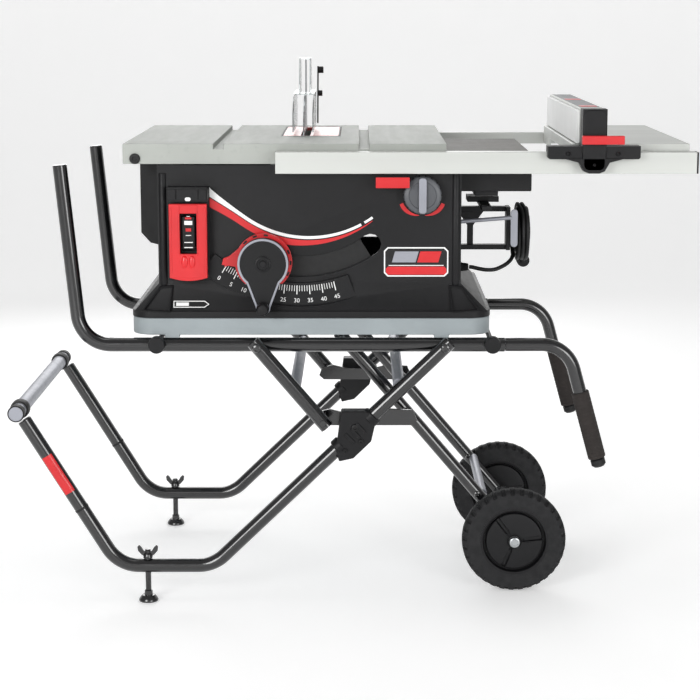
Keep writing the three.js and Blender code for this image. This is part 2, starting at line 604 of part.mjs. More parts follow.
for (const [side, sign] of bothSides) {
  const y = sign * STAND.leg;
  const leg = solid(pipe([legTop, FOOT.bend, FOOT.toe, FOOT.end], [70, 70], y, TUBE));
  const holes = [rod('z', 5.4, 40, 100, FOOT.x, y, 12), rod('y', 7.4, y - 20, y + 20, FOOT_PIVOT.x,
    FOOT_PIVOT.z, 14)];
  add(`foot_leg_${side}`, cut(leg.add(solid(plateXZ(outline(CLAMP), y - 16.5, y + 16.5))), ...holes),
    TUBE_BLACK);
  const wings = plateXZ(outline([[-8, 86], [8, 86], [18, 108], [12, 110], [0, 96], [-12, 110], [-18,
    108]]), y - 3, y + 3);
  add(`leveller_${side}`, join(rod('z', 5, 8, 102, FOOT.x, y, 12), rod('z', 9, 85.2, 93, FOOT.x, y, 12),
    wings.translate(FOOT.x, 0, 0),
    new THREE.CylinderGeometry(13, 19, 12, 20).rotateX(Math.PI / 2).translate(FOOT.x, y, 6), rod('z', 8,
      11, 22, FOOT.x, y, 8)), TUBE_BLACK);
}

const BAR = { x: -648, z: 372 };
add('carry_bar', turnedY([[0, -302], [14, -302], [14, 302], [0, 302]], BAR.x, BAR.z, 20), SILVER_PAINT);
add('foot_leg_brace', rod('y', 11, -266, 266, 75, 423, 14), SILVER_PAINT);

// ---------------------------------------------------------------- stand: struts, link plates, wheel legs
const wheelSlope = Math.atan2(WHEEL_PIVOT.z - WHEEL.radius, WHEEL.x - WHEEL_PIVOT.x);
const along = (from, distance) => [from.x + distance * Math.cos(wheelSlope),
  from.z - distance * Math.sin(wheelSlope)];
const LINK = [[-86, 345], [-80, 362], [-56, 368], [-24, 360], [30, 360], [60, 368], [104, 366], [112,
  345], [100, 336], [-76, 336]];
const strutEnd = along(STRUT_PIVOT, STRUT_LENGTH);
const legPin = along(WHEEL_PIVOT, STRUT_LENGTH);

for (const [side, sign] of bothSides) {
  const y = sign * STAND.leg;
  const strut = solid(pipe([along(STRUT_PIVOT, -13), along(STRUT_PIVOT, STRUT_LENGTH + 12)], [], y, TUBE));
  add(`strut_${side}`, cut(strut, rod('y', 7.4, y - 20, y + 20, STRUT_PIVOT.x, STRUT_PIVOT.z, 14),
    rod('y', 6.4, y - 20, y + 20, ...strutEnd, 14)), TUBE_BLACK);
  const link = plateXZ(outline(LINK), sign * 231 - 3, sign * 231 + 3);
  const pins = [[294, strutEnd], [146, legPin]].map(([end, at]) =>
    rod('y', 6, Math.min(sign * 231, sign * end), Math.max(sign * 231, sign * end), ...at, 14));
  add(`link_plate_${side}`, join(link, ...pins), TUBE_BLACK);
  const ly = sign * WHEEL_LEG.y;
  const leg = solid(pipe([along(WHEEL_PIVOT, -16), [WHEEL.x, WHEEL.radius]], [], ly, WHEEL_LEG.radius));
  const eye = rod('y', 17, ly - 12, ly + 12, WHEEL.x, WHEEL.radius, 18);
  add(`wheel_leg_${side}`, cut(leg.add(solid(eye)), rod('y', 6.4, ly - 20, ly + 20, ...legPin, 14),
    rod('y', 8.4, ly - 20, ly + 20, WHEEL.x, WHEEL.radius, 14), rod('y', 7.4, ly - 20, ly + 20,
      WHEEL_PIVOT.x, WHEEL_PIVOT.z, 14)), TUBE_BLACK);
}

add('strut_brace', rod('y', 11, -266, 266, ...along(STRUT_PIVOT, 108), 14), SILVER_PAINT);
add('axle', rod('y', 8, -232, 232, WHEEL.x, WHEEL.radius, 16), STEEL);

function wheel(sign) {
  const half = WHEEL.width / 2;
  const y = sign * WHEEL.y;
  const r = WHEEL.radius;
  const profile = [[8.4, y - half], [26, y - half], [26, y - half + 8], [62, y - half + 8], [66,
    y - half + 2], [r - 6, y - half], [r, y - half + 7],
    [r, y + half - 7], [r - 6, y + half], [66, y + half - 2], [62, y + half - 8], [26, y + half - 8], [26,
      y + half], [8.4, y + half], [8.4, y - half]];
  return turnedY(profile, WHEEL.x, WHEEL.radius, 40);
}

for (const [side, sign] of bothSides) add(`wheel_${side}`, wheel(sign), TYRE_BLACK);

// The group's origin is under the middle of the whole saw, on the floor.
const bounds = new THREE.Box3().setFromObject(saw);
saw.position.set(-(bounds.min.x + bounds.max.x) / 2, -(bounds.min.y + bounds.max.y) / 2, -bounds.min.z);

export default saw;
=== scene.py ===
# %% [markdown]
# # A jobsite table saw on a folding wheeled stand
# The frame is the saw's CAD model: sixty plain solids that already have their true sizes and joints.
# This lesson dresses them. Pieces with straight walls keep the CAD shape and get rounded edges, and
# pieces with bends, treads or teeth are worked out again as smooth surfaces.

# %% Load the frame
import json
import math

import bmesh
import bpy
import mathutils
import numpy as np
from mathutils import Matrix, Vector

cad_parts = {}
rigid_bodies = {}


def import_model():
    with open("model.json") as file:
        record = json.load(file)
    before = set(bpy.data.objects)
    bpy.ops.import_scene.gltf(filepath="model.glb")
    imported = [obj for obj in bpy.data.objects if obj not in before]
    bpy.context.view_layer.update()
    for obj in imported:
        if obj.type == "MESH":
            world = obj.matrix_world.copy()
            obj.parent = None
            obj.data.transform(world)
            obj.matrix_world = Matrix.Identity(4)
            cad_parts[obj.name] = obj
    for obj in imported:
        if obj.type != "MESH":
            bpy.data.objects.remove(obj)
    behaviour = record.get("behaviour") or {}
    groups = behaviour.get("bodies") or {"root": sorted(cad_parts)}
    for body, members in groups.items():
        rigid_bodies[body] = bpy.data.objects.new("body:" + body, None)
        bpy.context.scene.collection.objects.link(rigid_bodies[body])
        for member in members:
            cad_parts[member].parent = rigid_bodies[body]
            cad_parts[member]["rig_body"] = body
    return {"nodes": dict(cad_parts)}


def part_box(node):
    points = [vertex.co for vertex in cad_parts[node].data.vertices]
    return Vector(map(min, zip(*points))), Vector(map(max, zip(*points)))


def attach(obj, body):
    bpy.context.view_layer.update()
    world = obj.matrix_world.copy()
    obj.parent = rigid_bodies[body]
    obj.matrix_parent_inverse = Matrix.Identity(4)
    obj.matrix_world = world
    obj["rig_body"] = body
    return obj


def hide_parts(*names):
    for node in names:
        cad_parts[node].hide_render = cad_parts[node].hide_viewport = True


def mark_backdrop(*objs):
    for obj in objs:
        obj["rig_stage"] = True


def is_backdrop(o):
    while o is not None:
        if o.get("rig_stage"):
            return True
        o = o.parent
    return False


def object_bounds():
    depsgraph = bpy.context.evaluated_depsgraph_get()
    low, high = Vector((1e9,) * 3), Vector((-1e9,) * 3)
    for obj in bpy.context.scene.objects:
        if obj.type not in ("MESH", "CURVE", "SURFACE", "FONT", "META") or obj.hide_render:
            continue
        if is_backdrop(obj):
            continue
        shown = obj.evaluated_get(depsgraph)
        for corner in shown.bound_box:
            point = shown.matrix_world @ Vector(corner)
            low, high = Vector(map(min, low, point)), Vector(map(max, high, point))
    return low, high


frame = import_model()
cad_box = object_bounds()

print("CAD pieces:", len(frame["nodes"]))

# %% [markdown]
# The saw was drawn in millimetres from its own datum. The frame is in metres and slightly shifted, so
# one corner of the table says how far. Every shape below is drawn in the maker's millimetres.

# %% Datum
table_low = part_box("table_top")[0]
DATUM = np.array([table_low.x + 0.444, table_low.y + 0.235, 0.0])


def metres(points):
    """Maker's millimetres to the frame's metres: a thousandth of each number, plus the datum."""
    return np.asarray(points, float) / 1000 + DATUM


print("datum in metres:", DATUM.round(4))

# %% [markdown]
# The camera stands almost four metres in front of the saw and looks slightly down, with a long lens.

# %% Camera
camera_data = bpy.data.cameras.new("camera")
camera_data.lens = 99.1
camera_data.sensor_width = 36
camera_data.shift_x = -0.0130
camera = bpy.data.objects.new("camera", camera_data)
camera.location = metres((0, -3858.2, 1131.4))
camera.rotation_euler = (math.radians(90) - 0.177, 0, 0)
bpy.context.scene.collection.objects.link(camera)
bpy.context.scene.camera = camera
bpy.context.scene.view_settings.view_transform = "Standard"
print("camera at", tuple(round(c, 3) for c in camera.location))

# %% [markdown]
# A finish is a small network of nodes. Slow noise varies the colour, a middle one varies the gloss and
# fine noise raises the grain. A plain colour would look like paint in a drawing: these three make a
# surface that has been moulded, ground or sprayed. First come the colours and nodes that all of them use.

# %% Finish nodes
def srgb(red, green, blue):
    """Screen values 0..255 to light: ((c + 0.055) / 1.055) to the power 2.4."""
    c = np.array([red, green, blue]) / 255
    light = np.where(c > 0.04045, ((c + 0.055) / 1.055) ** 2.4, c / 12.92)
    return (*light.tolist(), 1.0)


def noise(tree, place, scale, detail=3.0, stretch=(1, 1, 1)):
    """Noise on Object coordinates, scale lumps to the metre, divided along each axis by its stretch."""
    mapping = tree.nodes.new("ShaderNodeMapping")
    mapping.inputs["Scale"].default_value = tuple(1 / s for s in stretch)
    tree.links.new(place.outputs["Object"], mapping.inputs["Vector"])
    texture = tree.nodes.new("ShaderNodeTexNoise")
    texture.inputs["Scale"].default_value = scale
    texture.inputs["Detail"].default_value = detail
    tree.links.new(mapping.outputs["Vector"], texture.inputs["Vector"])
    return texture.outputs["Fac"]


def ranged(tree, value, low, high, start=0.3, end=0.7):
    """Maps start..end of a value to low..high."""
    node = tree.nodes.new("ShaderNodeMapRange")
    for name, number in zip(("From Min", "From Max", "To Min", "To Max"), (start, end, low, high)):
        node.inputs[name].default_value = number
    tree.links.new(value, node.inputs["Value"])
    return node.outputs["Result"]


print("a screen grey of 128 is", round(srgb(128, 128, 128)[0], 3), "of full light")

# %% [markdown]
# One recipe makes every finish. Painted, ground and moulded surfaces differ only in its numbers. Casting
# that is handled and slid over also gets rubbed spots of a second colour. A Mix node has sockets for
# numbers, vectors and colours, so its colour sockets are known by their place in the row.

# %% Finish recipe
FACTOR, FIRST, SECOND, MIXED = 0, 6, 7, 2
BUMP_HEIGHT = 0.0006


def finish(name, colour, tint=0.12, rough=(0.4, 0.5), metal=0.0, grain=(900, 0.15), stretch=(1, 1, 1),
           lumps=14, coat=0.0, clear=0.0, gloss=0.5, wear=None):
    """colour * (1 -+ tint) by slow noise, rough by middle noise, and grain = (scale, bump strength).
    wear = (colour, scale, share) lets a second colour through where a noise is high."""
    material = bpy.data.materials.new(name)
    material.use_nodes = True
    tree = material.node_tree
    shader = tree.nodes["Principled BSDF"]
    shader.inputs["Metallic"].default_value = metal
    shader.inputs["Specular IOR Level"].default_value = gloss
    shader.inputs["Coat Weight"].default_value = coat
    shader.inputs["Coat Roughness"].default_value = 0.12
    shader.inputs["Transmission Weight"].default_value = clear
    place = tree.nodes.new("ShaderNodeTexCoord")
    mix = tree.nodes.new("ShaderNodeMix")
    mix.data_type = "RGBA"
    base = np.array(srgb(*colour)[:3])
    mix.inputs[FIRST].default_value = (*(base * (1 - tint)), 1)
    mix.inputs[SECOND].default_value = (*np.minimum(base * (1 + tint), 1), 1)
    slow = noise(tree, place, lumps, 4, stretch)
    tree.links.new(ranged(tree, slow, 0, 1), mix.inputs[FACTOR])
    surface = mix.outputs[MIXED]
    if wear:
        rubbed = tree.nodes.new("ShaderNodeMix")
        rubbed.data_type = "RGBA"
        rubbed.inputs[SECOND].default_value = srgb(*wear[0])
        spots = noise(tree, place, wear[1], 8)
        tree.links.new(ranged(tree, spots, 0, wear[2], 0.6, 0.72), rubbed.inputs[FACTOR])
        tree.links.new(surface, rubbed.inputs[FIRST])
        surface = rubbed.outputs[MIXED]
    tree.links.new(surface, shader.inputs["Base Color"])
    middle = noise(tree, place, lumps * 6, 5, stretch)
    tree.links.new(ranged(tree, middle, *rough), shader.inputs["Roughness"])
    bump = tree.nodes.new("ShaderNodeBump")
    bump.inputs["Strength"].default_value = grain[1]
    bump.inputs["Distance"].default_value = BUMP_HEIGHT
    tree.links.new(noise(tree, place, grain[0], 2, stretch), bump.inputs["Height"])
    tree.links.new(bump.outputs["Normal"], shader.inputs["Normal"])
    return material


print("finish recipe ready")

# %% [markdown]
# The saw's finishes: ground table casting, drawn rails, moulded black and red, powder-coated tube, foam,
# rubber and clear guard. The ground top is stretched along the grinding direction, and a rail along X.

# %% Finishes
FINISHES = {
    "cast_table": finish("ground_casting", (168, 171, 166), 0.05, (0.5, 0.62), 0.1, (700, 0.12),
                         (1, 9, 1), gloss=0.15, wear=((150, 153, 149), 60, 0.3)),
    "bed_paint": finish("bed_paint", (112, 110, 106), 0.06, (0.55, 0.65), 0.0, (900, 0.12), gloss=0.15),
    "extrusion": finish("drawn_aluminium", (194, 196, 192), 0.05, (0.4, 0.52), 0.35, (1500, 0.1),
                        (40, 1, 1)),
    "black_plastic": finish("moulded_black", (15, 15, 17), 0.16, (0.38, 0.5), 0, (1400, 0.2), gloss=0.28),
    "grey_plastic": finish("moulded_grey", (143, 151, 154), 0.06, (0.45, 0.6), 0, (1300, 0.2)),
    "dark_grey": finish("dark_casting", (52, 54, 58), 0.1, (0.38, 0.52), 0.2, (1100, 0.3)),
    "knob_grey": finish("knob_grey", (80, 82, 86), 0.06, (0.34, 0.44), 0.1, (900, 0.15)),
    "red": finish("moulded_red", (204, 18, 26), 0.08, (0.3, 0.42), 0, (1200, 0.15), coat=0.2),
    "clear_red": finish("insert_red", (214, 112, 106), 0.06, (0.25, 0.35), 0, (900, 0.1)),
    "clear": finish("guard_clear", (208, 213, 213), 0.03, (0.08, 0.2), 0, (240, 0.5), clear=0.85),
    "white": finish("printed_white", (238, 239, 238), 0.03, (0.4, 0.5), 0, (900, 0.08)),
    "black_tube": finish("powder_black", (11, 11, 13), 0.15, (0.16, 0.24), 0, (520, 0.07), coat=0.8),
    "foam": finish("foam_brown", (42, 37, 35), 0.16, (0.85, 0.95), 0, (1000, 0.8)),
    "tyre": finish("tyre_rubber", (20, 20, 22), 0.18, (0.72, 0.88), 0, (800, 0.5)),
    "steel": finish("bright_steel", (176, 179, 181), 0.08, (0.24, 0.36), 0.9, (1400, 0.12)),
    "silver_paint": finish("silver_paint", (150, 152, 160), 0.06, (0.34, 0.46), 0.5, (900, 0.15)),
    "rubber": finish("cord_rubber", (14, 14, 15), 0.14, (0.5, 0.62), 0, (1100, 0.25), gloss=0.4),
}
print("finishes:", ", ".join(FINISHES))

# %% [markdown]
# Shapes are arrays. A shell is a pair: points in millimetres, and faces as lists of point numbers.
# A grid of points becomes a skin of four-sided faces, and all the round and bent pieces are grids.

# %% Shells
def grid_faces(rows, columns, ring):
    """Faces between point (i, j) and its neighbours (i + 1, j + 1); a ring's last column meets its first."""
    i, j = np.meshgrid(np.arange(rows - 1), np.arange(columns if ring else columns - 1), indexing="ij")
    k = (j + 1) % columns
    return np.stack([i * columns + j, i * columns + k, (i + 1) * columns + k, (i + 1) * columns + j],
                    -1).reshape(-1, 4).tolist()


def skin(points, ring=True):
    """A shell from a grid of points, rows by columns by three."""
    points = np.asarray(points, float)
    return points.reshape(-1, 3), grid_faces(points.shape[0], points.shape[1], ring)


def joined(*shells):
    """Several shells as one: each one's face numbers move up by the points before it."""
    starts = np.cumsum([0] + [len(points) for points, faces in shells])
    faces = [[k + int(start) for k in face] for start, shell in zip(starts, shells) for face in shell[1]]
    return np.concatenate([points for points, faces in shells]), faces


print("a closed strip of 2 by 12 points has", len(grid_faces(2, 12, True)), "faces")

# %% [markdown]
# A wheel, a knob or a bolt is turned: its profile goes round an axis. A plate, a label or a lever is a
# slab: its outline gets a thickness. Those two and a few outlines make most of the saw's small parts.

# %% Turned and flat shells
ORDER = {"x": (2, 0, 1), "y": (0, 2, 1), "z": (0, 1, 2)}


def turned(profile, centre, axis="y", sides=48, swell=None, hollow=False):
    """Profile points (r, h) go round the axis: across = centre + r cos t and r sin t, along = centre + h.
    swell(t, h) may multiply r, for lobes and treads. The ends close at r = 0, or on each other if hollow."""
    profile = np.asarray(profile, float)
    first, last = (profile[-1:], profile[:0]) if hollow else (profile[:1] * (0, 1), profile[-1:] * (0, 1))
    profile = np.concatenate([first, profile, last])
    r, h = profile[:, :1], profile[:, 1:]
    t = np.linspace(0, 2 * np.pi, sides, endpoint=False)[None, :]
    r = r * (swell(t, h) if swell else 1)
    flat = np.stack([r * np.cos(t), r * np.sin(t), h + 0 * t], -1)
    return skin(flat[..., ORDER[axis]] + np.asarray(centre, float))


def slab(outline, low, high, axis="y"):
    """An outline across the axis, given thickness from low to high: two ends and a wall between them."""
    outline = np.asarray(outline, float)
    n = len(outline)
    along = np.repeat([low, high], n)[:, None]
    points = np.concatenate([np.concatenate([outline, outline]), along], 1)[:, ORDER[axis]]
    return points, grid_faces(2, n, True) + [list(range(n)), list(range(n, 2 * n))]


def box(x0, x1, y0, y1, z0, z1):
    """A slab with a plain four-cornered outline."""
    return slab([[x0, z0], [x1, z0], [x1, z1], [x0, z1]], y0, y1)


def rounded(x0, x1, z0, z1, radius, steps=6):
    """A rectangle's outline with quarter-circle corners: corner centre + radius (cos t, sin t)."""
    t = np.linspace(0, np.pi / 2, steps)
    quarter = np.stack([np.cos(t), np.sin(t)], -1) * radius
    x, z = np.array([x1 - radius, x0 + radius, x0 + radius, x1 - radius]), np.array([z1, z1, z0, z0])
    z = z + radius * np.array([-1, -1, 1, 1])
    turn = [np.array([[math.cos(a), math.sin(a)], [-math.sin(a), math.cos(a)]])
            for a in np.arange(4) * np.pi / 2]
    return np.concatenate([quarter @ turn[k] + (x[k], z[k]) for k in range(4)])


def arc(centre, radius, start, end, steps=48):
    """Points centre + radius (sin a, -cos a): angles in degrees from straight down, growing to the right."""
    a = np.radians(np.linspace(start, end, steps))
    r = np.broadcast_to(radius, a.shape)
    return np.stack([centre[0] + r * np.sin(a), centre[1] - r * np.cos(a)], -1)


def band(centre, inner, outer, start, end, low, high, steps=64):
    """A flat arc strip between two radii: the inner arc out and the outer arc back."""
    out = arc(centre, outer, start, end, steps)
    return slab(np.concatenate([arc(centre, inner, start, end, steps), out[::-1]]), low, high)


print("a bar has", len(box(0, 1, 0, 1, 0, 1)[0]), "points")

# %% [markdown]
# The stand is bent from tube. A bender makes arcs that touch the straight runs on both sides, so a line
# needs only its corners and bend radii, and a pipe is a ring carried along that line.

# %% Bends and pipes
def bent(corners, radii, step=6.0):
    """A line of straight runs. Each inner corner becomes an arc of its radius, touching both runs."""
    corners = np.asarray(corners, float)
    line = [corners[:1]]
    for before, corner, after, radius in zip(corners, corners[1:], corners[2:], radii):
        u = (before - corner) / np.linalg.norm(before - corner)
        v = (after - corner) / np.linalg.norm(after - corner)
        half = math.acos(float(u @ v)) / 2
        centre = corner + (u + v) / np.linalg.norm(u + v) * radius / math.sin(half)
        s, e = corner + u * radius / math.tan(half), corner + v * radius / math.tan(half)
        t = np.linspace(0, 1, max(5, int(radius * (math.pi - 2 * half) / step)))[:, None]
        chord = (s - centre) * (1 - t) + (e - centre) * t
        line.append(centre + chord / np.linalg.norm(chord, axis=1)[:, None] * radius)
    return np.concatenate(line + [corners[-1:]])


def pipe(path, radius, across=(0, 1, 0), sides=32, edge=1.2):
    """Rings round a path that stays square to the across direction: point + radius (cos t a + sin t b).
    a is the across direction and b is square to it and to the path. The end edges are rounded."""
    path = np.asarray(path, float)
    first, last = path[1] - path[0], path[-1] - path[-2]
    first, last = first / np.linalg.norm(first), last / np.linalg.norm(last)
    r = np.concatenate([[0, radius - edge], np.full(len(path), radius), [radius - edge, 0]])
    line = np.concatenate([[path[0], path[0], path[0] + first * edge], path[1:-1],
                           [path[-1] - last * edge, path[-1], path[-1]]])
    way = np.gradient(path, axis=0)
    way = np.concatenate([[first, first], way, [last, last]])
    b = np.cross(np.asarray(across, float), way)
    b = b / np.linalg.norm(b, axis=1)[:, None]
    a = np.cross(way, b)
    a = a / np.linalg.norm(a, axis=1)[:, None]
    t = np.linspace(0, 2 * np.pi, sides, endpoint=False)[None, :, None]
    return skin(line[:, None] + r[:, None, None] * (np.cos(t) * a[:, None] + np.sin(t) * b[:, None]))


def flat_path(xz, y):
    """A line drawn in X and Z, laid at one depth y."""
    return np.insert(np.asarray(xz, float), 1, y, axis=1)


print("a right-angle bend has", len(bent([[0, 0], [100, 0], [100, 100]], [50])), "points")

# %% [markdown]
# A shell becomes a piece in one call: its doubles are merged, its faces turned outwards and its edges
# rounded, and it is tied to the body it moves with. CAD pieces go through the same call as merged
# copies, because a bevel needs faces that share their corners.

# %% Pieces
SHARP = math.radians(32)


def settle(mesh, double=1e-6, flat=None, turn=True):
    """Merges doubles, dissolves flat neighbours if asked, turns faces outwards and marks sharp edges."""
    work = bmesh.new()
    work.from_mesh(mesh)
    bmesh.ops.remove_doubles(work, verts=work.verts, dist=double)
    if flat:
        bmesh.ops.dissolve_limit(work, angle_limit=flat, verts=work.verts, edges=work.edges)
    if turn:
        bmesh.ops.recalc_face_normals(work, faces=work.faces)
    for face in work.faces:
        face.smooth = True
    for edge in work.edges:
        edge.smooth = len(edge.link_faces) == 2 and edge.calc_face_angle(0) < SHARP
    work.to_mesh(mesh)
    work.free()


def dress(piece, look, body, bevel, replaces, segments=2):
    """Gives a piece its finish, its rounded edges and its body, and hides the CAD pieces it stands in for.
    """
    piece.data.materials.clear()
    piece.data.materials.append(FINISHES[look])
    if bevel:
        edges = piece.modifiers.new("edges", "BEVEL")
        edges.width = bevel / 1000
        edges.segments = segments
        edges.limit_method = "ANGLE"
        edges.angle_limit = SHARP
        edges.harden_normals = True
    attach(piece, body)
    if replaces:
        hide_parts(*replaces)
    return piece


def make(name, shell, look, body, bevel=0.0, replaces=()):
    """A new piece from a shell in millimetres."""
    mesh = bpy.data.meshes.new(name)
    points, faces = shell
    mesh.from_pydata(metres(points).tolist(), [], faces)
    settle(mesh)
    piece = bpy.data.objects.new(name, mesh)
    bpy.context.scene.collection.objects.link(piece)
    return dress(piece, look, body, bevel, replaces)


# %% [markdown]
# Straight-walled castings and mouldings are right in the CAD model already. Each gets a finish and a
# rounded edge that suits how it is made: 0.2 mm on the blade, 1 to 1.6 mm on castings, 3 mm on the crank.

# %% Carried-over pieces
def carry(node, look, bevel=0.8):
    """A merged copy of a CAD node with rounded edges, in that node's place."""
    mesh = frame["nodes"][node].data.copy()
    settle(mesh, 1e-5, math.radians(0.4))
    piece = bpy.data.objects.new(node + "_finished", mesh)
    bpy.context.scene.collection.objects.link(piece)
    return dress(piece, look, frame["nodes"][node]["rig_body"], bevel, [node])


CARRIED = {
    "cast_table": (("table_top", 1.2), ("arbor_carriage", 1.0), ("trunnion", 1.0)),
    "bed_paint": (("slide_bed", 1.0),),
    "extrusion": (("front_rail", 1.0), ("rear_rail", 0.8), ("extension_wing", 1.2), ("fence_beam", 1.0)),
    "black_plastic": (("housing", 1.6), ("power_module", 2.0), ("storage_rack", 1.0), ("mitre_gauge", 1.0),
                      ("switch_box", 1.2), ("start_toggle", 1.5), ("fence_head", 1.6),
                      ("elevation_crank", 3.0), ("front_rail_cap", 0.8), ("mount_rod_left", 0.8),
                      ("mount_rod_right", 0.8), ("cord_plug", 1.5)),
    "grey_plastic": (("base_tray", 2.0),),
    "white": (("fence_face", 0.6),),
    "red": (("fence_lever", 1.5), ("stop_paddle", 1.5), ("tilt_lock_ring", 0.8),
            ("extension_lock_lever", 1.2)),
    "dark_grey": (("motor", 1.5),),
    "clear_red": (("throat_insert", 0.5),),
    "clear": (("blade_guard", 0.5),),
    "steel": (("riving_knife", 0.3), ("arbor", 0.6), ("blade", 0.2), ("axle", 0.8)),
    "rubber": (("kickback_pawls", 0.4),),
    "silver_paint": (("carry_bar", 1.5), ("foot_leg_brace", 0.8), ("strut_brace", 0.8)),
    "black_tube": (("strut_front", 1.0), ("strut_rear", 1.0), ("link_plate_front", 0.8),
                   ("link_plate_rear", 0.8)),
}
for look, nodes in CARRIED.items():
    for node, bevel in nodes:
        carry(node, look, bevel)
print("carried over:", sum(len(nodes) for nodes in CARRIED.values()))

# %% [markdown]
# The floor is a pale sheet that curves up in front of the saw and behind it, as a paper roll does in a
# studio. It glows a little, which keeps it nearly white.

# %% Floor
def sweep_floor():
    """z = 0 in the middle, then a quarter circle of radius 2 m up to a wall at each end, all along X."""
    t = np.linspace(0, np.pi / 2, 24)
    rear = np.stack([4000 + 2000 * np.sin(t), 2000 - 2000 * np.cos(t)], -1)
    front = rear[::-1] * (-1, 1) + (-6000, 0)
    line = np.concatenate([[[-12000, 6000]], front, rear, [[6000, 6000]]])
    x = np.array([-14000.0, 14000.0])
    grid = np.stack([np.broadcast_to(x, (len(line), 2)), line[:, :1] + 0 * x, line[:, 1:] + 0 * x], -1)
    return skin(grid, False)


floor_mesh = bpy.data.meshes.new("floor")
floor_points, floor_faces = sweep_floor()
floor_mesh.from_pydata(metres(floor_points).tolist(), [], floor_faces)
settle(floor_mesh, turn=False)
floor = bpy.data.objects.new("floor", floor_mesh)
bpy.context.scene.collection.objects.link(floor)
paper = finish("paper", (248, 248, 248), 0.01, (0.7, 0.8), 0, (300, 0.02))
paper_shader = paper.node_tree.nodes["Principled BSDF"]
paper_shader.inputs["Emission Color"].default_value = (1, 1, 1, 1)
paper_shader.inputs["Emission Strength"].default_value = 0.28
floor.data.materials.append(paper)
stage_pieces = [floor]
print("floor made")

# %% [markdown]
# Black parts show only what they reflect, so two large soft lights stand low in front and draw a bright
# line along each tube. A weak one above and one behind open the shadows.

# %% Lights
LIGHTS = (("key", (-1900, -3700, 1500), 1.5, 70), ("fill", (2300, -3700, 1200), 1.5, 46),
          ("top", (0, 0, 3000), 1.2, 9), ("rim", (-400, 2700, 1900), 2.0, 26))
AIM = mathutils.Vector((0, 0, 0.6))
for name, place, size, power in LIGHTS:
    light_data = bpy.data.lights.new(name, "AREA")
    light_data.size = size
    light_data.energy = power
    light = bpy.data.objects.new(name, light_data)
    light.location = metres(place)
    light.rotation_euler = (light.location - AIM).to_track_quat("Z", "Y").to_euler()
    bpy.context.scene.collection.objects.link(light)
    stage_pieces.append(light)
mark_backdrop(*stage_pieces)
world = bpy.data.worlds.new("studio")
world.use_nodes = True
world.node_tree.nodes["Background"].inputs["Color"].default_value = (1, 1, 1, 1)
world.node_tree.nodes["Background"].inputs["Strength"].default_value = 0.36
bpy.context.scene.world = world
print("lights:", len(stage_pieces) - 1)

# %% [markdown]
# The power cord leaves the right wall through a tapered gland, sags below the store and winds round its
# peg in three layers of turns, a diameter apart. It ends in a plug. The coil is a helix whose place
# across the peg steps by one pitch as each layer ends, so it is a formula in one angle.

# %% Cord route
PITCH = 8.4
PEG_Y, PEG_Z = -30, 688
LEAD = [[217.6, -75, 622], [224, -75, 621.4], [236, -75, 618.6], [252, -74.6, 616], [270, -72, 616.8],
        [289, -63, 624], [301, -51, 632], [306.3, -38, 639.6], [307, -26.5, 646.4]]
TAIL = [[332.4, -16, 633.2], [332.4, 1, 629], [332.4, 8, 625.6], [332.4, 17, 622.5]]


def steps(angle, start, events):
    """A value that moves by each event's amount, smoothly (3u^2 - 2u^3), while the angle crosses it."""
    value = np.full(angle.shape, float(start))
    for low, high, change in events:
        u = np.clip((angle - low) / (high - low), 0, 1)
        value += change * (3 * u ** 2 - 2 * u ** 3)
    return value


def coil():
    """x and r step from layer to layer; y = peg + r cos a and z = peg + r sin a."""
    a = np.linspace(-60, 2790, 270)
    x = steps(a, 307, [(-30, 30, 8.6), (330, 390, PITCH), (690, 750, PITCH), (1290, 1350, -PITCH),
                       (1650, 1710, -PITCH), (2250, 2310, PITCH), (2610, 2670, PITCH)])
    r = steps(a, 37.6, [(990, 1050, PITCH), (1950, 2010, PITCH)])
    a = np.radians(a)
    return np.stack([x, PEG_Y + r * np.cos(a), PEG_Z + r * np.sin(a)], -1)


def smoothed(points, count):
    """Points along a line through the given ones: each stretch is a Catmull-Rom cubic."""
    p = np.asarray(points, float)
    p = np.concatenate([2 * p[:1] - p[1:2], p, 2 * p[-1:] - p[-2:-1]])
    u = np.linspace(0, len(points) - 1, count)
    k = np.minimum(u.astype(int), len(points) - 2)
    t = (u - k)[:, None]
    a, b, c, d = p[k], p[k + 1], p[k + 2], p[k + 3]
    return 0.5 * (2 * b + (c - a) * t + (2 * a - 5 * b + 4 * c - d) * t ** 2
                  + (3 * b - a - 3 * c + d) * t ** 3)


winding = coil()
lead = smoothed(LEAD + [winding[0].tolist()], 60)
tail = smoothed([winding[-1].tolist()] + TAIL, 24)
cord_line = metres(np.concatenate([lead[:-1], winding, tail[1:]]))

# %% [markdown]
# The route becomes a curve with a round bevel, because a cord is the same all along. A mesh pipe would
# do as well, but a curve keeps its points in order, from gland to plug.

# %% Cord
CORD_RADIUS = 0.004
cord_curve = bpy.data.curves.new("power_cord", "CURVE")
cord_curve.dimensions = "3D"
cord_curve.bevel_depth = CORD_RADIUS
cord_curve.bevel_resolution = 3
cord_curve.use_fill_caps = True
cord_spline = cord_curve.splines.new("POLY")
cord_spline.points.add(len(cord_line) - 1)
cord_spline.points.foreach_set("co", np.insert(cord_line, 3, 1, axis=1).ravel())
cord_spline.use_smooth = True
cord = bpy.data.objects.new("power_cord", cord_curve)
cord_curve.materials.append(FINISHES["rubber"])
bpy.context.scene.collection.objects.link(cord)
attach(cord, "base")
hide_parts("cord_lead", "cord_coil")
print("cord points:", len(cord_line))

# %% [markdown]
# The gland is a soft ribbed cone, so the cord can't bend sharply where it leaves the wall: the radius
# falls along it and every second ring is cut back. The plug is a moulded grip that is pinched on two
# sides, with two blades and a round earth pin.

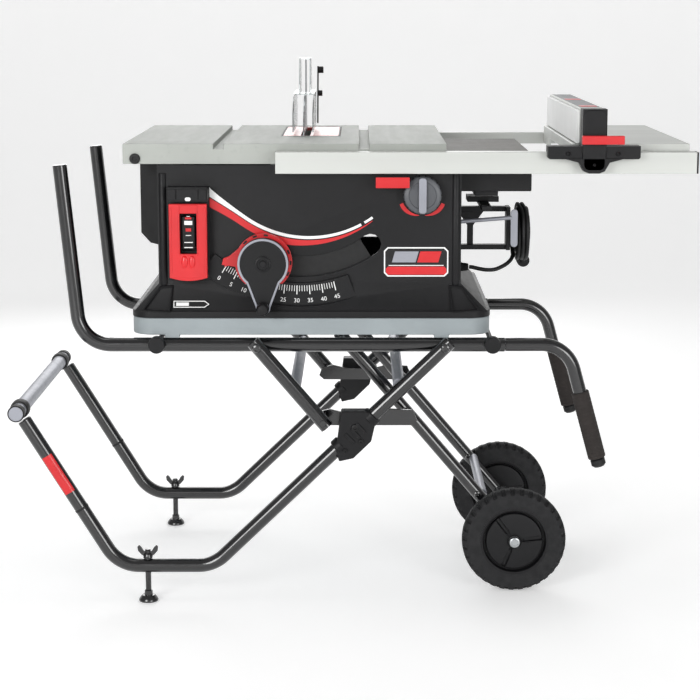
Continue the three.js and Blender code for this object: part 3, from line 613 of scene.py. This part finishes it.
# %% Plug and gland
PLUG_X = 332.4
ribs = [[9.4 - 0.12 * k - 0.7 * (k % 2), 6 + k] for k in range(16)]
make("cord_gland_ribbed", turned([[10, 0], [10, 5]] + ribs + [[6.4, 22.6]], (193.4, -75, 622), "x", 40),
     "rubber", "base", 0, ["cord_gland"])


def pinch(t, h):
    """1 - 0.16 |sin t| cubed: the plug is flatter on two sides, for the fingers."""
    return 1 - 0.16 * np.abs(np.sin(t)) ** 3


grip = [[4.6, 12], [7, 14], [8, 17], [11.5, 20], [13, 24], [13, 44], [12, 51]]
blades = [box(x, x + 1.6, 50, 69, 619, 626) for x in (325.6, 337.6)]
earth_pin = turned([[2.4, 50], [2.4, 66], [1.2, 68]], (PLUG_X, 0, 616), "y", 14)
grip_body = turned(grip, (PLUG_X, 0, 622.5), "y", 28, pinch)
plug = make("cord_plug_moulded", joined(grip_body, *blades, earth_pin), "rubber", "base", 0, ["cord_plug"])
print("plug points:", len(plug.data.vertices))

# %% [markdown]
# The stand's two side rails carry the saw and turn up at the left, where they hold the folded stand.
# Each is one bent tube with its three pivot pins. Pins and bolts are turned, and their edges rounded.

# %% Side rails
TUBE = 13.5
RAIL_Y = 252
RAIL_Z = 497
LEG_Y = 280
LEG_PIVOT, STRUT_PIVOT, WHEEL_PIVOT = 162, -192, -33
SIDES = (("front", -1), ("rear", 1))


def pin(x, z, y0, y1, radius):
    """A round pin along Y with a rounded edge at both ends."""
    low, high = min(y0, y1), max(y0, y1)
    profile = [[radius - 1, low], [radius, low + 1], [radius, high - 1], [radius - 1, high]]
    return turned(profile, (x, 0, z), "y", 28)


def bolt(x, z, y, out, radius=8.0):
    """A domed bolt head standing out of a wall at depth y, with a socket in it."""
    profile = [[radius, 0], [radius, 2.4], [radius * 0.86, 4.4], [radius * 0.52, 5.2], [radius * 0.46, 2.6]]
    return turned([[r, h * out] for r, h in profile], (x, y, z), "y", 24)


for side, sign in SIDES:
    y = sign * RAIL_Y
    line = bent([[-560, 838], [-528, RAIL_Z], [277, RAIL_Z]], [62])
    pins = [pin(x, RAIL_Z, y, sign * 296, 7) for x in (LEG_PIVOT, STRUT_PIVOT)]
    heads = [bolt(x, RAIL_Z, sign * 295.5, sign, 8.5) for x in (LEG_PIVOT, STRUT_PIVOT)]
    rail = joined(pipe(flat_path(line, y), TUBE), *pins, pin(WHEEL_PIVOT, RAIL_Z, y, sign * 146, 7), *heads)
    make("side_rail_tube_" + side, rail, "black_tube", "base", 0, ["side_rail_" + side])
print("side rails made")

# %% [markdown]
# Two handles bend down at the right, and end in foam grips for wheeling the folded saw. The foam is
# turned about an upright axis, with a shallow ring every 8 mm, and then leaned along the handle.

# %% Handles and grips
HANDLE_X, HANDLE_Z = 457, 276
for side, sign in SIDES:
    y = sign * RAIL_Y
    line = bent([[277.4, RAIL_Z], [396, RAIL_Z], [HANDLE_X, HANDLE_Z]], [64])
    make("handle_tube_bent_" + side, pipe(flat_path(line, y), 12.8), "black_tube", "base", 0,
         ["handle_tube_" + side])
    way = np.array([61, -221]) / math.hypot(61, 221)
    along = np.linspace(-131, -4, 96)
    rings = np.stack([17 - 0.5 * (np.abs(np.sin(along * np.pi / 8)) < 0.25), along], -1)
    profile = np.concatenate([[[13.2, -134], [16, -134], [17, -132]], rings, [[17, -3], [16, -1.2]]])
    upright, faces = turned(profile, (0, 0, 0), "z", 36)
    leaned = np.stack([HANDLE_X + upright[:, 0] * -way[1] + upright[:, 2] * way[0], y + upright[:, 1],
                       HANDLE_Z + upright[:, 0] * way[0] + upright[:, 2] * way[1]], -1)
    make("handle_foam_" + side, (leaned, faces), "foam", "base", 0, ["handle_grip_" + side])
print("handles and grips made")

# %% [markdown]
# A foot leg is one tube with two bends: down from its pivot, along the floor and up to the carry bar.
# A casting with bolts clamps it where the strut meets it. Its outline is a slab, because it is cast flat.

# %% Foot legs and clamps
CLAMP = [[-44, 300], [-38, 279], [-11, 285], [23, 318], [30, 349], [16, 376], [-34, 376]]
leg_way = np.array([442, 426.5]) / math.hypot(442, 426.5)
for side, sign in SIDES:
    y = sign * LEG_Y
    top = np.array([LEG_PIVOT, RAIL_Z]) + leg_way * 14
    line = bent([top, [-280, 70.5], [-462, 70.5], [-636, 357]], [70, 70])
    make("foot_leg_tube_" + side, pipe(flat_path(line, y), TUBE), "black_tube", "foot_legs", 0,
         ["foot_leg_" + side])
    make("leg_clamp_" + side, slab(CLAMP, y - 16.5, y + 16.5), "black_plastic", "foot_legs", 2.2)
    face = y + sign * 16.5 - sign * 1.5
    bolts = [bolt(x, z, face, sign, radius) for x, z, radius in ((-8, 345, 7), (4, 318, 5), (-26, 300, 4.5))]
    make("clamp_bolts_" + side, joined(*bolts), "rubber", "foot_legs")
sleeves = [pipe([[-532, sign * LEG_Y, 185.7], [-529.8, sign * LEG_Y, 182.2]], 13.9, edge=0.3)
           for side, sign in SIDES]
make("foot_leg_sleeve", joined(*sleeves), "rubber", "foot_legs")
print("foot legs made")

# %% [markdown]
# Two feet screw up and down to level the stand on rough ground. Each is turned in one profile: a pad, a
# stem whose radius steps in and out as a thread does, and a hub with two ears for the fingers.

# %% Levelling feet
LEVELLER_X = -406
for side, sign in SIDES:
    y = sign * LEG_Y
    thread = [[6 if k % 2 else 5.1, 22 + k * 1.25] for k in range(64)]
    foot = (LEVELLER_X, y, 0)
    stem = turned([[8, 12], [8, 21], [6, 22]] + thread + [[4.6, 103]], foot, "z", 20)
    pad = turned([[17.5, 0], [19, 1.5], [18.6, 5], [14, 11], [12.4, 12.5], [8, 12.8]], foot, "z", 40)
    hub = turned([[8, 85.2], [9.4, 86.4], [8.6, 93], [6.4, 96]], foot, "z", 28)
    ear = np.array([[4, 86], [12, 92], [19, 100], [20, 108], [16.5, 111], [12, 107], [8, 100], [3, 97]])
    ears = [slab(ear * (k, 1) + (LEVELLER_X, 0), y - 2.4, y + 2.4) for k in (1, -1)]
    make("leveller_foot_" + side, joined(pad, stem, hub, *ears), "black_tube", "leveller_" + side, 0.6,
         ["leveller_" + side])
print("levellers made")

# %% [markdown]
# A straight tube runs from the middle pivot of each rail down to the axle, and ends in a turned eye. The
# axle lies one wheel radius above the floor.

# %% Wheel legs
AXLE_X, WHEEL = 303, 101.5
wheel_way = np.array([336, -395.5]) / math.hypot(336, 395.5)
for side, sign in SIDES:
    y = sign * 160
    start = np.array([WHEEL_PIVOT, RAIL_Z]) - wheel_way * 12
    end = np.array([AXLE_X, WHEEL]) - wheel_way * 2
    tube = pipe(flat_path([start, end], y), 12)
    eye = turned([[16, -13], [17, -12], [17, 12], [16, 13]], (AXLE_X, y, WHEEL), "y", 36)
    make("wheel_leg_tube_" + side, joined(tube, eye, bolt(232, 184, y - 11.5, -1, 6)), "black_tube",
         "wheel_legs", 0, ["wheel_leg_" + side])
print("wheel legs made")

# %% [markdown]
# A tyre is turned in one go: its profile runs round the axle, and the tread is that same surface with
# its radius lowered where a groove is. The grooves are a softened square wave in the angle, half a step
# apart on the two sides. The hub is made of rings too, and their height drops in the spoke grooves.

# %% Wheel surfaces
def tread(t, h):
    """1 - 0.05 inside a groove: where sin(34 t) passes 0.35, on each shoulder; 1 on the side walls."""
    half_step = np.where(h > 0, 0.0, np.pi)
    wave = 1 / (1 + np.exp(-14 * (np.sin(34 * t + half_step) - 0.35)))
    shoulder = np.clip((np.abs(h) - 5) / 4, 0, 1)
    return np.where(np.abs(h) <= 20.01, 1 - 0.05 * wave * shoulder, 1)


def hub_face(centre, out):
    """Rings of radius r at height h, with three spoke grooves: h drops by 5 where |r sin(t - tk)| < 3.6."""
    r = np.array([0.1, 10, 11.4, 12, 13, 14, 20, 30, 40, 50, 54, 55.5, 56, 60, 60.5, 62, 64, 66.5, 66.5])
    h = np.array([20, 20, 19.6, 18.4, 18.4, 19.4, 19.6, 19.4, 19, 18.4, 17.8, 16, 9, 9, 19, 21.4, 21.8,
                  21.4, 8])
    t = np.linspace(0, 2 * np.pi, 240, endpoint=False)
    spokes = np.radians([7, 127, 247])
    near = np.abs(r[:, None, None] * np.sin(t[None, :, None] - spokes)) < 3.6
    ahead = np.cos(t[None, :, None] - spokes) > 0
    groove = (near & ahead).any(2) & (r[:, None] > 19) & (r[:, None] < 55)
    height = h[:, None] - 5 * groove
    grid = np.stack([centre[0] + r[:, None] * np.cos(t), centre[1] + out * height,
                     centre[2] + r[:, None] * np.sin(t)], -1)
    return skin(grid)


print("a hub has", len(hub_face((0, 0, 0), 1)[0]), "points a side")

# %% [markdown]
# The crown of the tyre falls off as the fourth power of the distance from its middle, so it is nearly
# flat where it rolls. A bright cap covers each end of the axle.

# %% Wheels
TYRE_WALL = np.array([[66, -21], [68, -20.6], [84, -20], [92, -20.4]])
AXLE_CAP = [[10.4, 19.5], [10.4, 28.4], [9.6, 30.2], [8, 31], [6.4, 31], [5.8, 30.2]]
for side, sign in SIDES:
    middle = (AXLE_X, sign * 202, WHEEL)
    across = np.linspace(-20, 20, 41)
    crown = WHEEL - 6.5 * np.abs(across / 20) ** 4
    profile = np.concatenate([TYRE_WALL, np.stack([crown, across], -1), TYRE_WALL[::-1] * (1, -1)])
    make("tyre_" + side, turned(profile, middle, "y", 340, tread, True), "tyre", "wheel_" + side, 0,
         ["wheel_" + side])
    make("wheel_hub_" + side, joined(*[hub_face(middle, out) for out in (1, -1)]), "black_plastic",
         "wheel_" + side)
    make("axle_cap_" + side, turned([[r, h * sign] for r, h in AXLE_CAP], middle, "y", 32), "steel",
         "wheel_" + side)
print("wheels made")

# %% [markdown]
# The front of the housing carries thin printed shapes: a white and a red band that follow the crank's
# path, the bevel scale with its numbers, and a plain badge. Each is real geometry half a millimetre
# thick, so its edge catches light, and no picture is needed.

# %% Printed bands
FRONT = -235.0
PRINT = (FRONT - 0.5, FRONT + 0.2)
BAND_CENTRE = (-94, 908)
SWITCH_EDGE = -281.6
KNOB = (119, 781)


def flare(swing):
    """((-swing - 35) / 20) squared beyond 35 degrees to the left, where the bands widen to the switch."""
    return np.clip((-swing - 35) / 20, 0, None) ** 2


def swept_band(inner, outer, start, end, out):
    """A band whose radii change along it, cut off upright at the switch's edge."""
    points, faces = band(BAND_CENTRE, inner, outer, start, end, FRONT - out, FRONT + 0.2, len(inner))
    points[:, 0] = np.maximum(points[:, 0], SWITCH_EDGE)
    return points, faces


swing = np.linspace(-60, 28, 90)
rise = flare(swing)
width = 6.4 - (swing + 35).clip(0) / 63 * 1.6 + 6.6 * rise
make("white_band", joined(swept_band(206 + 10 * rise, 206 + 10 * rise + width, -60, 28, 0.8),
                          swept_band(np.full(8, 206), np.full(8, 210.5), 30, 35, 0.8)), "white", "base")
swing = np.linspace(-60, 34, 90)
rise = flare(swing)
taper = np.clip((swing + 10) / 44, 0, 1)
make("red_band", swept_band(214 + 17 * rise - taper, 226 + 23 * rise - 12 * taper, -60, 34, 0.5), "red",
     "base")
swell = 40.5 + 6.5 * np.sin(np.linspace(0, 1, 20) * 1.9)
crescents = [band(KNOB, np.full(20, 39.5), swell, way * 8, way * 66, *PRINT, 20) for way in (-1, 1)]
make("knob_arcs", joined(*crescents), "red", "base")
print("bands printed")

# %% [markdown]
# A dark sheet behind the crank's arc slot is painted shade: it keeps the slot black, where the inside
# of the housing is in shade. It is a sector round the bevel axis and rides on the trunnion, so it slides
# past the slot as the blade tilts. It stops short at the right, because it must clear the table at full
# tilt. The scale's ticks are worked out from their angle.

# %% Slot shade sheet and bevel scale
BEVEL = (-111, 876)
# Painted shade: a dark rubber sector that keeps the slot black, in place of the housing's shaded inside.
make("slot_shade_sheet", band(BEVEL, 206, 257, -66, 32, -228.6, -225.4, 80), "rubber", "trunnion")
PLATE = -243.6
ZERO = -31.4
TICK_RADIUS, FIGURE_RADIUS = 267, 296
make("scale_plate", band(BEVEL, 262, 305.5, -38, 20, PLATE, FRONT + 0.1, 60), "black_plastic", "base", 0.6)


def tick(degree):
    """A mark square to the arc, from the ticks' radius out; longer and wider at every fifth degree."""
    a = math.radians(ZERO + degree)
    out, side = np.array([math.sin(a), -math.cos(a)]), np.array([math.cos(a), math.sin(a)])
    length, half = (17, 0.85) if degree % 5 == 0 else (11, 0.55)
    inner, outer = out * TICK_RADIUS, out * (TICK_RADIUS + length)
    corners = [inner - side * half, outer - side * half, outer + side * half, inner + side * half]
    return slab(np.array(corners) + BEVEL, PLATE - 0.4, PLATE + 0.2)


def lettering(text, height):
    """A shell of flat raised figures, centred, in millimetres: across is X and up is Z."""
    curve = bpy.data.curves.new("figure", "FONT")
    curve.body = text
    curve.size = height
    curve.align_x = "CENTER"
    curve.align_y = "CENTER"
    curve.extrude = 0.3
    curve.resolution_u = 3
    holder = bpy.data.objects.new("figure", curve)
    mesh = bpy.data.meshes.new_from_object(holder)
    points = np.empty(len(mesh.vertices) * 3)
    mesh.vertices.foreach_get("co", points)
    faces = [list(face.vertices) for face in mesh.polygons]
    bpy.data.objects.remove(holder)
    return points.reshape(-1, 3), faces


def number(degree):
    """A figure at the figures' radius, whose up direction points to the bevel axis."""
    points, faces = lettering(str(degree), 11.5)
    a = math.radians(ZERO + degree)
    x = BEVEL[0] + FIGURE_RADIUS * math.sin(a) + points[:, 0] * math.cos(a) - points[:, 1] * math.sin(a)
    z = BEVEL[1] - FIGURE_RADIUS * math.cos(a) + points[:, 0] * math.sin(a) + points[:, 1] * math.cos(a)
    return np.stack([x, PLATE - 0.1 - points[:, 2], z], -1), faces


make("scale_ticks", joined(*[tick(degree) for degree in range(46)]), "white", "base")
make("scale_numbers", joined(*[number(degree) for degree in range(0, 50, 5)]), "white", "base")
print("scale marked")

# %% [markdown]
# The badge and the skirt's label are stuck on. A frame between two outlines gives a border with a real
# edge, and it is left without words. The skirt leans out, so its label leans with it.

# %% Badge and labels
SKIRT_TOP = 612
SKIRT_LEAN = 27 / 50


def chamfered(x0, x1, z0, z1, cut):
    """A rectangle's outline with its corners cut off at 45 degrees."""
    return [[x0 + cut, z0], [x1 - cut, z0], [x1, z0 + cut], [x1, z1 - cut], [x1 - cut, z1], [x0 + cut, z1],
            [x0, z1 - cut], [x0, z0 + cut]]


def hoop(outer, inner, low, high, axis="y"):
    """A frame between two outlines with as many points: outer wall, front, inner wall, back."""
    rows = [(outer, high), (outer, low), (inner, low), (inner, high), (outer, high)]
    grid = np.stack([np.insert(np.asarray(line, float), 2, h, axis=1) for line, h in rows])
    return skin(grid[..., ORDER[axis]])


def on_skirt(shell):
    """Leans a flat front shell out onto the skirt: y moves by the lean times the drop below its top."""
    points, faces = shell
    points = points.copy()
    points[:, 1] -= SKIRT_LEAN * (SKIRT_TOP - points[:, 2])
    return points, faces


badge = chamfered(47, 169, 625, 681, 7)
badge_inside = chamfered(49.4, 166.6, 627.4, 678.6, 6)
badge_rule = box(56, 160, FRONT - 1, FRONT, 645.5, 647)
silver_bar = [[62, 652], [107, 652], [113, 673], [68, 673]]
red_bar = [[110, 652], [150, 652], [156, 673], [116, 673]]
make("badge_field", slab(badge, *PRINT), "rubber", "base")
make("badge_border", joined(hoop(badge, badge_inside, FRONT - 1, FRONT), badge_rule), "white", "base")
make("badge_band", slab(chamfered(50.6, 165.4, 628.6, 644, 4), FRONT - 0.9, FRONT), "red", "base")
make("badge_bar_silver", slab(silver_bar, FRONT - 0.9, FRONT), "silver_paint", "base", 0.3)
make("badge_bar_red", slab(red_bar, FRONT - 0.9, FRONT), "red", "base", 0.3)
label = np.array([[-351, 569], [-292, 569], [-283, 575], [-292, 581], [-351, 581]])
inner_label = np.array([[-349.4, 570.4], [-292.6, 570.4], [-285.4, 575], [-292.6, 579.6], [-349.4, 579.6]])
make("skirt_label", on_skirt(joined(hoop(label, inner_label, FRONT - 0.8, FRONT + 0.1),
                                    box(-346, -322, FRONT - 0.7, FRONT + 0.1, 572, 578))), "white", "base")
make("skirt_label_field", on_skirt(slab(label, FRONT - 0.5, FRONT + 0.2)), "rubber", "base")
print("badge and labels made")

# %% [markdown]
# The housing's front corners are rounded posts, and its skirt has a moulded pocket at both ends. The
# right pocket is the left one mirrored. A rubber bumper is screwed to the table's front edge.

# %% Posts, pockets and table bumper
posts = [turned([[8, 604], [9, 606], [9, 819], [8, 821]], (x, -229.5, 0), "z", 40) for x in (-370, 183)]
make("corner_posts", joined(*posts), "black_plastic", "base")
pocket = np.array([[-379, 607], [-352, 609], [-357, 560], [-412, 563]])
inner_pocket = np.array([[-376.6, 603], [-355.4, 605], [-359.6, 563], [-406, 566]])
frames = []
for way, shift in ((1, 0), (-1, -182)):
    outer, inner = pocket * (way, 1) + (shift, 0), inner_pocket * (way, 1) + (shift, 0)
    frames.append(on_skirt(hoop(outer, inner, FRONT - 3.6, FRONT + 2)))
make("skirt_pockets", joined(*frames), "black_plastic", "base", 0.9)
bumper = [[10, -0.2], [10, 3], [9, 4.6], [7, 5.2], [4.6, 5], [4.2, 2.6]]
make("table_bumper", turned([[r, -h] for r, h in bumper], (-421, FRONT, 848), "y", 40), "rubber", "base")
print("posts, pockets and bumper made")

# %% [markdown]
# The switch is a big red paddle that stops the saw with a knee. Behind its window is the small black
# start toggle. The paddle has a lip along its foot, two raised strips, a frame round the window and two
# soft bulges. Rounded slabs give the strips, and squashed balls the bulges.

# %% Paddle
HEADER = ((-357, -343), (-341, -301), (-299, -285))
panels = [slab(rounded(x0, x1, 773, 794, 2.5), -267.2, -264) for x0, x1 in HEADER]
make("switch_header", joined(*panels), "black_plastic", "base", 0.8)
make("power_light", slab(rounded(-325.5, -314.5, 771.5, 778.5, 3.4), -268.2, -266), "white", "base", 0.5)
stripes = [slab(rounded(x0, x0 + 3, 634, 760, 1.4), -270, -268) for x0 in (-354, -290)]
lip = np.concatenate([arc((-320.5, 728), 107, -19.4, 19.4, 24), [[-285, 640], [-356, 640]]])
make("paddle_lip", slab(lip, -268.6, -255.4), "red", "stop_paddle", 1.2)
make("paddle_edges", joined(*stripes), "red", "stop_paddle", 0.5)
channel = hoop(rounded(-338, -302, 669, 764, 2), rounded(-336, -304, 672, 762, 1.5), -270.4, -266)
make("paddle_channel", channel, "red", "stop_paddle", 0.5)


def pillow(x, y, z, wide, deep, high):
    """A squashed ball: centre + (wide cos v cos u, deep cos v sin u, high sin v)."""
    u, v = np.meshgrid(np.linspace(0, 2 * np.pi, 40, endpoint=False), np.linspace(-0.5, 0.5, 13) * np.pi)
    return skin(np.stack([x + wide * np.cos(v) * np.cos(u), y + deep * np.cos(v) * np.sin(u),
                          z + high * np.sin(v)], -1))


bulges = [pillow(x, -268.5, 657, 6.2, 3.4, 12) for x in (-327.5, -313.5)]
make("paddle_bulges", joined(*bulges), "red", "stop_paddle")
print("paddle dressed")

# %% [markdown]
# The toggle has five ridges for the thumb, and plain coloured marks where printing would be.

# %% Start toggle
ridges = [box(-330, -310, -263.6, -261.6, 681.6 + 3 * k, 683 + 3 * k) for k in range(5)]
make("toggle_ridges", joined(*ridges), "rubber", "start_toggle", 0.3)
white_marks = [(-323, -317, 742, 743), (-327.5, -312.5, 726.5, 734), (-325, -315, 706, 707.2),
               (-328, -312, 692.6, 694.2), (-328, -312, 683, 684.6)]
red_marks = [(-326, -314, 737, 740.5), (-325, -315, 714, 720)]
for name, look, marks in (("white", "white", white_marks), ("red", "red", red_marks)):
    make("toggle_marks_" + name, joined(*[box(x0, x1, -264, -261.8, z0, z1) for x0, x1, z0, z1 in marks]),
         look, "start_toggle")
print("toggle dressed")

# %% [markdown]
# The crank is a teardrop: a wide arc round its hub and a small one round its grip, with a bright rim.
# The grip and hub are turned. The red ring behind it has a pointer, and dashes cut as short arcs.

# %% Crank and ring
CRANK = (-180, 655)
GRIP = (-180, 573)


def teardrop(inset):
    """The crank's outline moved in by inset: a wide arc, then the small one round the grip."""
    return np.concatenate([arc(CRANK, 48 - inset, 40, 320, 72), arc(GRIP, 14 - inset, -90, 90, 20)])


make("crank_rim", hoop(teardrop(0.3), teardrop(4.6), -286, -281), "silver_paint", "crank", 0.7)
hub = [[15, 0], [15, 2], [13, 3.2], [11.5, 3.2], [10.8, 1.2], [7.4, 1.2], [7, 3], [5.4, 4]]
make("crank_hub", turned([[r, -h] for r, h in hub], (CRANK[0], -283.8, CRANK[1]), "y", 40),
     "black_plastic", "crank")
grip = [[8.6, -284.6], [9.2, -286.5], [10.6, -290], [12, -297], [12, -312], [11, -317], [8.6, -319.6],
        [4, -320]]
make("crank_grip_turned", turned(grip, (GRIP[0], 0, GRIP[1]), "y", 40), "black_plastic", "crank_grip", 0,
     ["crank_grip"])
wedge = [[-214, 692], [-251, 661], [-254, 645.5], [-229, 655]]
make("ring_pointer", slab(wedge, -256.4, -248), "red", "tilt_ring", 0.8)
dashes = [band(CRANK, 49.4, 52.8, a, a + 9, -256.6, -255.6, 8) for a in (60, 84, 108, 170, 194, 218)]
make("ring_dashes", joined(*dashes), "rubber", "tilt_ring")
print("crank and ring dressed")

# %% [markdown]
# The fine bevel knob is turned with scallops round its rim, which the fingers grip, and has a bright
# bar across its face.

# %% Fine bevel knob
def knurl(t, h):
    """1 - 0.05 in a groove: 18 scallops round the rim, none on the face."""
    return 1 - 0.05 * (np.cos(18 * t) > 0.55) * (h > -258)


knob = [[34, -235.6], [36, -237.5], [36, -256], [34.5, -259.5], [32, -261.2], [26, -262], [25, -260.6],
        [8, -260.6]]
knob_body = turned(knob, (KNOB[0], 0, KNOB[1]), "y", 216, knurl)
rib = slab(rounded(111.6, 126.4, 747.5, 814.5, 6), -268.5, -260)
make("fine_knob_turned", knob_body, "knob_grey", "fine_tilt_knob", 0, ["fine_tilt_knob"])
make("fine_knob_rib", rib, "silver_paint", "fine_tilt_knob", 1.8)
print("knob points:", len(knob_body[0]))

# %% [markdown]
# On top: the insert's dark edge, the printed panels of the fence and the screws that hold the rails.

# %% Table, fence and rail details
edge = hoop(rounded(-154, -38, -20, 280, 8), rounded(-151, -41, -17, 277, 6), 875.2, 876.4, "z")
make("insert_edge", edge, "rubber", "base")
panel = slab(rounded(415, 452, -215, 300, 3), 942.8, 943.5, "z")
make("fence_panel", panel, "knob_grey", "fence", 0.2)
tags = [slab(rounded(418, 449, y, y + 48, 3), 943, 944, "z") for y in (-205, 60)]
make("fence_tags", joined(*tags), "red", "fence", 0.2)
column = slab(rounded(411.5, 455.5, 829, 943, 13), -304, -298)
make("fence_column", column, "black_plastic", "fence", 3)
screws = [bolt(x, 862, -299.4, -1, 4) for x in (386, 478)] + [bolt(433.5, 842, -303.4, -1, 3)]
make("fence_screws", joined(*screws), "black_plastic", "fence")
make("bed_label", slab(rounded(190, 262, -165, -110, 3), 852.9, 853.4, "z"), "white", "base")
print("top dressed")

# %% [markdown]
# The mitre gauge is stored on the right, with its bright handle showing. The carry bar between the foot
# legs has rubber end caps and sockets and a blank label, which is a thin arc that follows the bar.

# %% Gauge handle and carry bar
BAR = (-648, 0, 372)
tab = slab(rounded(297, 311, 664, 738, 6.5), -97, -93)
make("gauge_handle", joined(tab, pipe([[198, -95, 714], [300, -95, 722]], 4)), "silver_paint", "base", 0.8)
CAP = np.array([[14.2, -9], [16, -8], [16, 8], [14.2, 9]])
SOCKET = np.array([[14.2, -13], [17, -12], [18.4, -6], [18.4, 6], [17, 12], [14.2, 13]])
caps = [turned(CAP + (0, y), BAR, "y", 40) for y in (-292, 292)]
sockets = [turned(SOCKET + (0, y), BAR, "y", 40) for y in (-250, 250)]
make("bar_sockets", joined(*caps, *sockets), "rubber", "foot_legs")
patch = np.concatenate([arc(BAR[::2], 14.4, 215, 285, 16), arc(BAR[::2], 13.8, 285, 215, 16)])
make("bar_label", slab(patch, 96, 150), "white", "foot_legs")
print("carry bar dressed")

# %% [markdown]
# A red stripe is wrapped round the outside of the front foot leg. The clamps have collars where the tube
# enters and leaves them, and three ribs on the face. A cross tube joins the wheel legs.

# %% Stripe, caps and collars
def wrap(start, end, y, radius, low, high):
    """A thin patch on a tube between two points: radius - 0.2 to radius + 0.4, from angle low to high.
    The angle is measured from the front (-Y) towards the tube's upper side."""
    a = np.radians(np.linspace(low, high, 16))
    r = np.concatenate([np.full(16, radius + 0.4), np.full(16, radius - 0.2)])
    a = np.concatenate([a, a[::-1]])
    start, end = np.asarray(start, float), np.asarray(end, float)
    way = (end - start) / np.linalg.norm(end - start)
    side = np.array([-way[1], way[0]])
    rows = [np.stack([p[0] + side[0] * r * np.sin(a), y - r * np.cos(a), p[1] + side[1] * r * np.sin(a)], -1)
            for p in (start, end)]
    points, faces = skin(np.stack(rows))
    return points, faces + [list(range(32)), list(range(32, 64))]


make("leg_stripe", wrap([-551, 217], [-594, 288], -280, TUBE, -48, 48), "red", "foot_legs")
plugs = [pipe(flat_path([[456.6, 277.4], [461.4, 260]], sign * RAIL_Y), 14, edge=4) for side, sign in SIDES]
make("handle_caps", joined(*plugs), "rubber", "base")
crossbar = pipe([[244, y, 180] for y in (-154, 0, 154)], 9, (1, 0, 0))
make("leg_crossbar", crossbar, "silver_paint", "wheel_legs")
square = np.array([leg_way[1], -leg_way[0]])
collars = []
for side, sign in SIDES:
    for middle in (np.array([22, 362]), np.array([-37, 305])):
        line = flat_path([middle + leg_way * 8, middle - leg_way * 8], sign * LEG_Y)
        collars.append(pipe(line, 18.2, edge=2))
    face = sorted((sign * 296.4, sign * 299.6))
    for k in (-1.6, 0, 1.6):
        at = np.array([-7, 334]) + leg_way * 9 * k
        collars.append(slab([at - square * 12 - leg_way * 3, at + square * 12 - leg_way * 3,
                             at + square * 12 + leg_way * 3, at - square * 12 + leg_way * 3], *face))
make("clamp_collars", joined(*collars), "black_plastic", "foot_legs", 0.8)
print("stand dressed")

# %% Sizes and finish
size = {"cad": [list(corner) for corner in cad_box], "visual": [list(corner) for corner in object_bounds()]}
